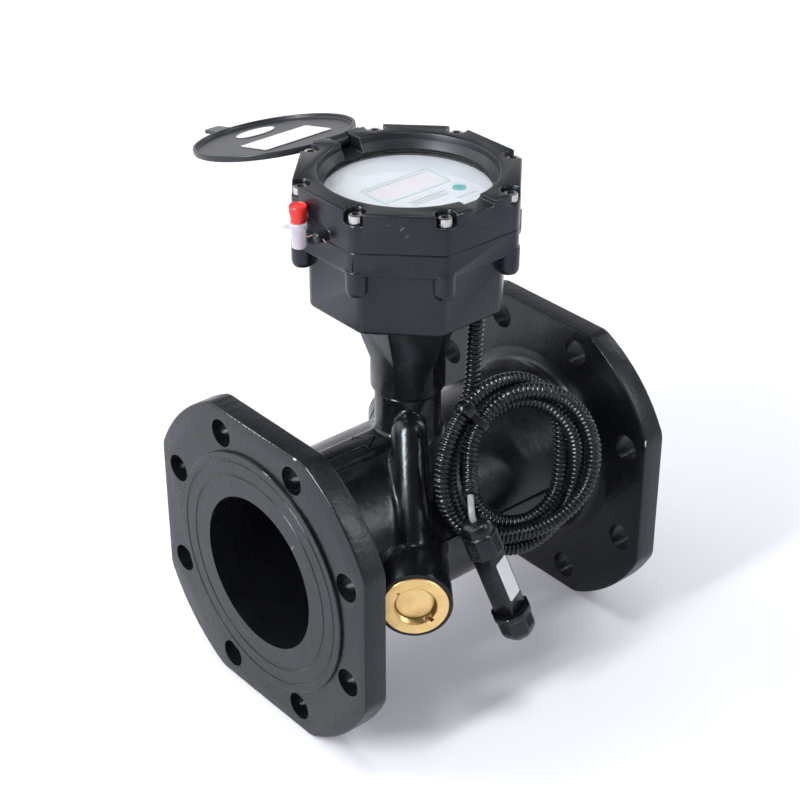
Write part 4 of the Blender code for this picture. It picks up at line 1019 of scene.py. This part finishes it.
def make_dial():
    edge = [(0, 319.9), (51.6, 319.9), (52, 320.2), (52, 321.3), (51.6, 321.6), (0, 321.6)]
    pane = turned("window_pane", edge, 96, **OVER_HEAD)
    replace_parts(wear(smooth(pane), clear_glass), "window_glass")
    dial = turned("dial_face", [(0, 316.2), (50.3, 316.2), (50.3, 319.2), (0, 319.2)], 96)
    cut(dial, plate("opening", rounded_box(-21.5, -4.9, 24.5, 13.8, 0.8), 310, 322))
    stand(dial, **OVER_HEAD)
    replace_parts(wear(smooth(dial), dial_paint), "dial_plate")
    frame_line = plate("dial_frame", rounded_box(-23.6, -7.2, 27.4, 16.2, 1.6), 319.1, 319.27)
    cut(frame_line, plate("inside", rounded_box(-23.0, -6.6, 26.8, 15.6, 1.2), 318, 321))
    badge = turned("dial_badge", [(4.3, 319.1), (4.3, 319.27), (0, 319.27)], 48, origin=(24.6, -17.2, 0))
    rules = [box("rule", (x0, y - 0.24, 319.1), (x1, y + 0.24, 319.26))
             for x0, x1, y in ((-12, 16, -14.6), (-12, 11, -16.9), (-12, 14, -19.2), (14, 29, -27.3))]
    wear(stand(joined("dial_rules", rules), **OVER_HEAD), dark_ink)
    wear(box("lcd_glass", (-22, -5.4, 317.2), (25, 14.3, 318.7), **OVER_HEAD), lcd_film)
    wear(smooth(stand(joined("dial_print", [frame_line, badge]), **OVER_HEAD)), teal_ink)


make_dial()


def make_lid():
    """Dished lid, modelled shut round the hinge and then swung open."""
    top, under, rim = 4.6, 3.1, 0.6
    dish = [(0, under), (49.2, under), (49.9, under - 0.5), (50.0, rim + 0.4), (50.4, rim), (51.6, rim),
            (52, rim + 0.4), (52, top - 0.9), (51.7, top - 0.3), (51.1, top), (0, top)]
    lid = turned("lid_cast", dish, 128, origin=(0, -HINGE_Y, 0))
    outline = [(-16.6, rim + 0.3)] + arc(0, 0, 4.0, -90, 90, 12) + [(-4, top - 0.3), (-16.6, top - 0.3)]
    arm = plate("arm", outline, -6.4, 6.4)
    arm.matrix_world = SIDEWAYS
    settle(arm)
    knuckle = turned("knuckle", [(0, -6.7), (3.9, -6.7), (4.15, -6.4), (4.15, 6.4), (3.9, 6.7), (0, 6.7)], 40,
                     axis=(1, 0, 0))
    outline = (arc(-3.5, -69.5, 2.5, 180, 270, 6) + arc(3.5, -69.5, 2.5, 270, 360, 6)
               + [(6, -49.2), (-6, -49.2)])
    tab = plate("tab", outline, under - 1.0, top - 0.2, origin=(0, -HINGE_Y, 0))
    add(lid, arm, knuckle, tab)
    cut(lid, rod("pin_hole", PIN_HOLE_R, -12, 12, 24, axis=(1, 0, 0)))
    ease_edges(lid, 0.3, 2, 40)
    oval = plate("oval", [(4 + 14 * math.cos(a), -26.5 + 8.5 * math.sin(a) - HINGE_Y)
                          for a in (math.tau * k / 64 for k in range(64))], under - 0.6, under - 0.3)
    outline = [(x, y - HINGE_Y) for x, y in rounded_box(-24, -4, 28, 24, 1.5)]
    label = plate("label", outline, under - 0.6, under - 0.3)
    swing = Matrix.Translation(mm(HEAD_X, HINGE_Y, HINGE_Z)) @ Matrix.Rotation(LID_SWING, 4, "X")
    for piece, name, finish, node in ((lid, "lid_cast", lid_grey, "lid"),
                                      (oval, "lid_oval", white_vinyl, "sticker_oval"),
                                      (label, "lid_label", white_vinyl, "sticker_plate")):
        piece.matrix_world = swing
        piece.name = name
        wear(smooth(settle(piece)), finish, "lid")
        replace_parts(piece, node)


make_lid()


def make_brass():
    for side, label in ((1, "front"), (-1, "rear")):
        way = {"origin": Vector((HEAD_X, 0, PIPE_Z)), "axis": CROSS * side}
        profile = [(12.2, 94.4), (20.2, 94.4), (20.2, 111.4), (19.7, 112), (13.4, 112), (12.9, 111.7),
                   (12.6, 111.2)]
        z = 111.2
        while z > 104.6:
            profile += [(12.2, z - 0.45), (12.55, z - 0.9)]
            z -= 0.9
        profile += [(12.2, 103.5)]
        nut = turned(f"brass_ring_{label}", profile, 96, ring=True, **way)
        lean = (CROSS.cross(UP) + UP).normalized()
        face = way["origin"] + way["axis"] * 112
        for place in (lean * 13.4, lean * -13.4):
            cut(nut, box("slot", (-1.25, -1.6, -3), (1.25, 1.6, 5), origin=face + place, axis=way["axis"],
                         x_axis=lean.cross(CROSS)))
        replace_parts(wear(smooth(nut, 25), turned_brass), f"transducer_ring_{label}")
        capsule = [(0, 66), (9, 66), (9, 83.6), (14.7, 83.6), (14.7, 86), (12.6, 86), (12.6, 92.2),
                   (14.7, 92.2), (14.7, 94.1), (11.8, 94.1), (11.8, 107.6), (11.5, 107.9), (10.9, 108.0),
                   (10.5, 107.8), (0, 107.8)]
        body = turned(f"brass_capsule_{label}", capsule, 72, **way)
        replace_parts(wear(smooth(body, 25), turned_brass), f"transducer_{label}")


make_brass()


def make_seal():
    axis = Vector((38.8, 13.2, 0))
    cup = [(0, 315.9), (4.1, 315.9), (4.35, 316.2), (4.5, 318.5), (5.0, 321), (5.3, 322), (5.3, 325.6),
           (5.0, 326.1), (4.4, 326.2), (4.1, 325.7), (0, 325.5)]
    cap = turned("seal_cup", cup, 48, origin=axis)
    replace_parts(wear(smooth(cap, 30), red_plastic), "seal_cap")
    barrel = [(0, 299.8), (3.7, 299.8), (4.1, 300.1), (4.3, 300.8), (4.3, 311.2), (4.6, 311.8), (5.2, 312.1),
              (5.2, 315.2), (4.9, 315.6), (0, 315.6)]
    body = turned("seal_barrel", barrel, 48, origin=axis)
    flap = plate("seal_flap", arc(-6.2, 0, 3.0, 90, 270, 12) + [(0, -3.4), (0, 3.4)], 312.4, 313.0)
    flap.matrix_world = Matrix.Translation(mm(axis)) @ Matrix.Rotation(math.radians(-40.5), 4, "Z")
    body = joined("seal_barrel", [body, settle(flap)])
    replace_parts(wear(smooth(body, 30), milky_plastic), "seal_body")
    strands = []
    route = smooth_route([(39.0, 8.6, 308.5), (39.0, 4.5, 309.6), (39.0, 1.0, 311.8), (39.0, -2.4, 312.9),
                          (39.0, -8.9, 312.9), (39.2, -11.2, 311.6)], 0.8)
    for turn in (0, math.pi):
        twisted = [point + Vector((math.cos(turn + k * 0.9), 0, math.sin(turn + k * 0.9))) * 0.22
                   for k, point in enumerate(route)]
        strands.append(sweep("strand", twisted, [0.2] * len(twisted), 8))
    wire = joined("seal_thread", strands)
    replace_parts(wear(smooth(wire, 60), twisted_wire), "seal_wire")


make_seal()

# Floor and light
rest()
bpy.ops.mesh.primitive_plane_add(size=9.0, location=(0, 0, -0.0005))
floor = name_piece("studio_floor")
floor_made = Finish("studio_paper", (0.86, 0.86, 0.90), 0.9)
floor.data.materials.append(floor_made.material)


def show_white(finish, close, far):
    """Camera, gloss and glass see the floor lifted toward white, more so far from the meter."""
    path = finish.add("LightPath").outputs
    measure = finish.add("VectorMath", finish.place, operation="LENGTH")
    strength = finish.ramp(measure.outputs["Value"], 0.55, 1.6, close, far)
    seen = finish.times(path["Is Camera Ray"], path["Is Glossy Ray"], "MAXIMUM")
    seen = finish.times(seen, path["Is Transmission Ray"], "MAXIMUM")
    finish.links.new(finish.times(seen, strength), finish.shader.inputs["Emission Strength"])
    finish.shader.inputs["Emission Color"].default_value = (0.90, 0.90, 1.0, 1)


show_white(floor_made, 0.15, 0.6)


def light_world():
    """White to the camera and to glass. Gloss sees that white low down, higher up behind the meter than
    before it, and a darker ceiling. Everything else gets a soft even light."""
    world = bpy.data.worlds.new("studio")
    bpy.context.scene.world = world
    world.use_nodes = True
    sky = Nodes(world.node_tree)
    plain = sky.nodes["Background"]
    plain.inputs["Color"].default_value = (0.90, 0.93, 1.0, 1)
    plain.inputs["Strength"].default_value = 0.52
    ray = sky.add("LightPath").outputs
    either = sky.times(ray["Is Camera Ray"], ray["Is Transmission Ray"], "MAXIMUM")
    heading = sky.add("TexCoord").outputs["Generated"]
    steepness = sky.add("VectorMath", heading, (-0.12, -0.16, 1.0), operation="DOT_PRODUCT")
    ceiling = sky.ramp(steepness.outputs["Value"], 0.05, 0.50, 1.0, 0.16)
    bright = sky.add("Background", (1.0, 1.0, 1.0, 1.0), sky.times(either, ceiling, "MAXIMUM"))
    seen = sky.times(either, ray["Is Glossy Ray"], "MAXIMUM")
    blend = sky.add("MixShader", seen, plain.outputs[0], bright.outputs[0])
    sky.links.new(blend.outputs[0], sky.nodes["World Output"].inputs["Surface"])


light_world()


def lamp(name, place, target, size, power, only_gloss=False):
    data = bpy.data.lights.new(name, "AREA")
    data.shape = "RECTANGLE"
    data.size, data.size_y = size
    data.energy = power
    made = bpy.data.objects.new(name, data)
    bpy.context.scene.collection.objects.link(made)
    made.location = place
    made.rotation_euler = (Vector(target) - Vector(place)).to_track_quat("-Z", "Y").to_euler()
    if only_gloss:
        made.visible_diffuse = False
        made.visible_transmission = False


lamp("left_softbox", (-1.15, -0.08, 1.05), (0.05, 0, 0.15), (0.16, 0.9), 14)
lamp("back_softbox", (-0.65, 1.15, 1.15), (0.1, 0, 0.1), (1.5, 1.1), 15)
lamp("right_softbox", (1.35, -0.1, 0.75), (0.1, 0, 0.15), (0.15, 0.9), 4)
lamp("top_softbox", (0.1, -0.15, 1.6), (0.1, 0, 0), (0.3, 0.3), 4)
lamp("left_glint", (-1.2, 0.0, 1.1), (0.05, 0, 0.15), (0.34, 0.9), 36, True)
lamp("right_glint", (0.75, -1.1, 1.15), (0.1, 0, 0.15), (0.12, 0.8), 9, True)
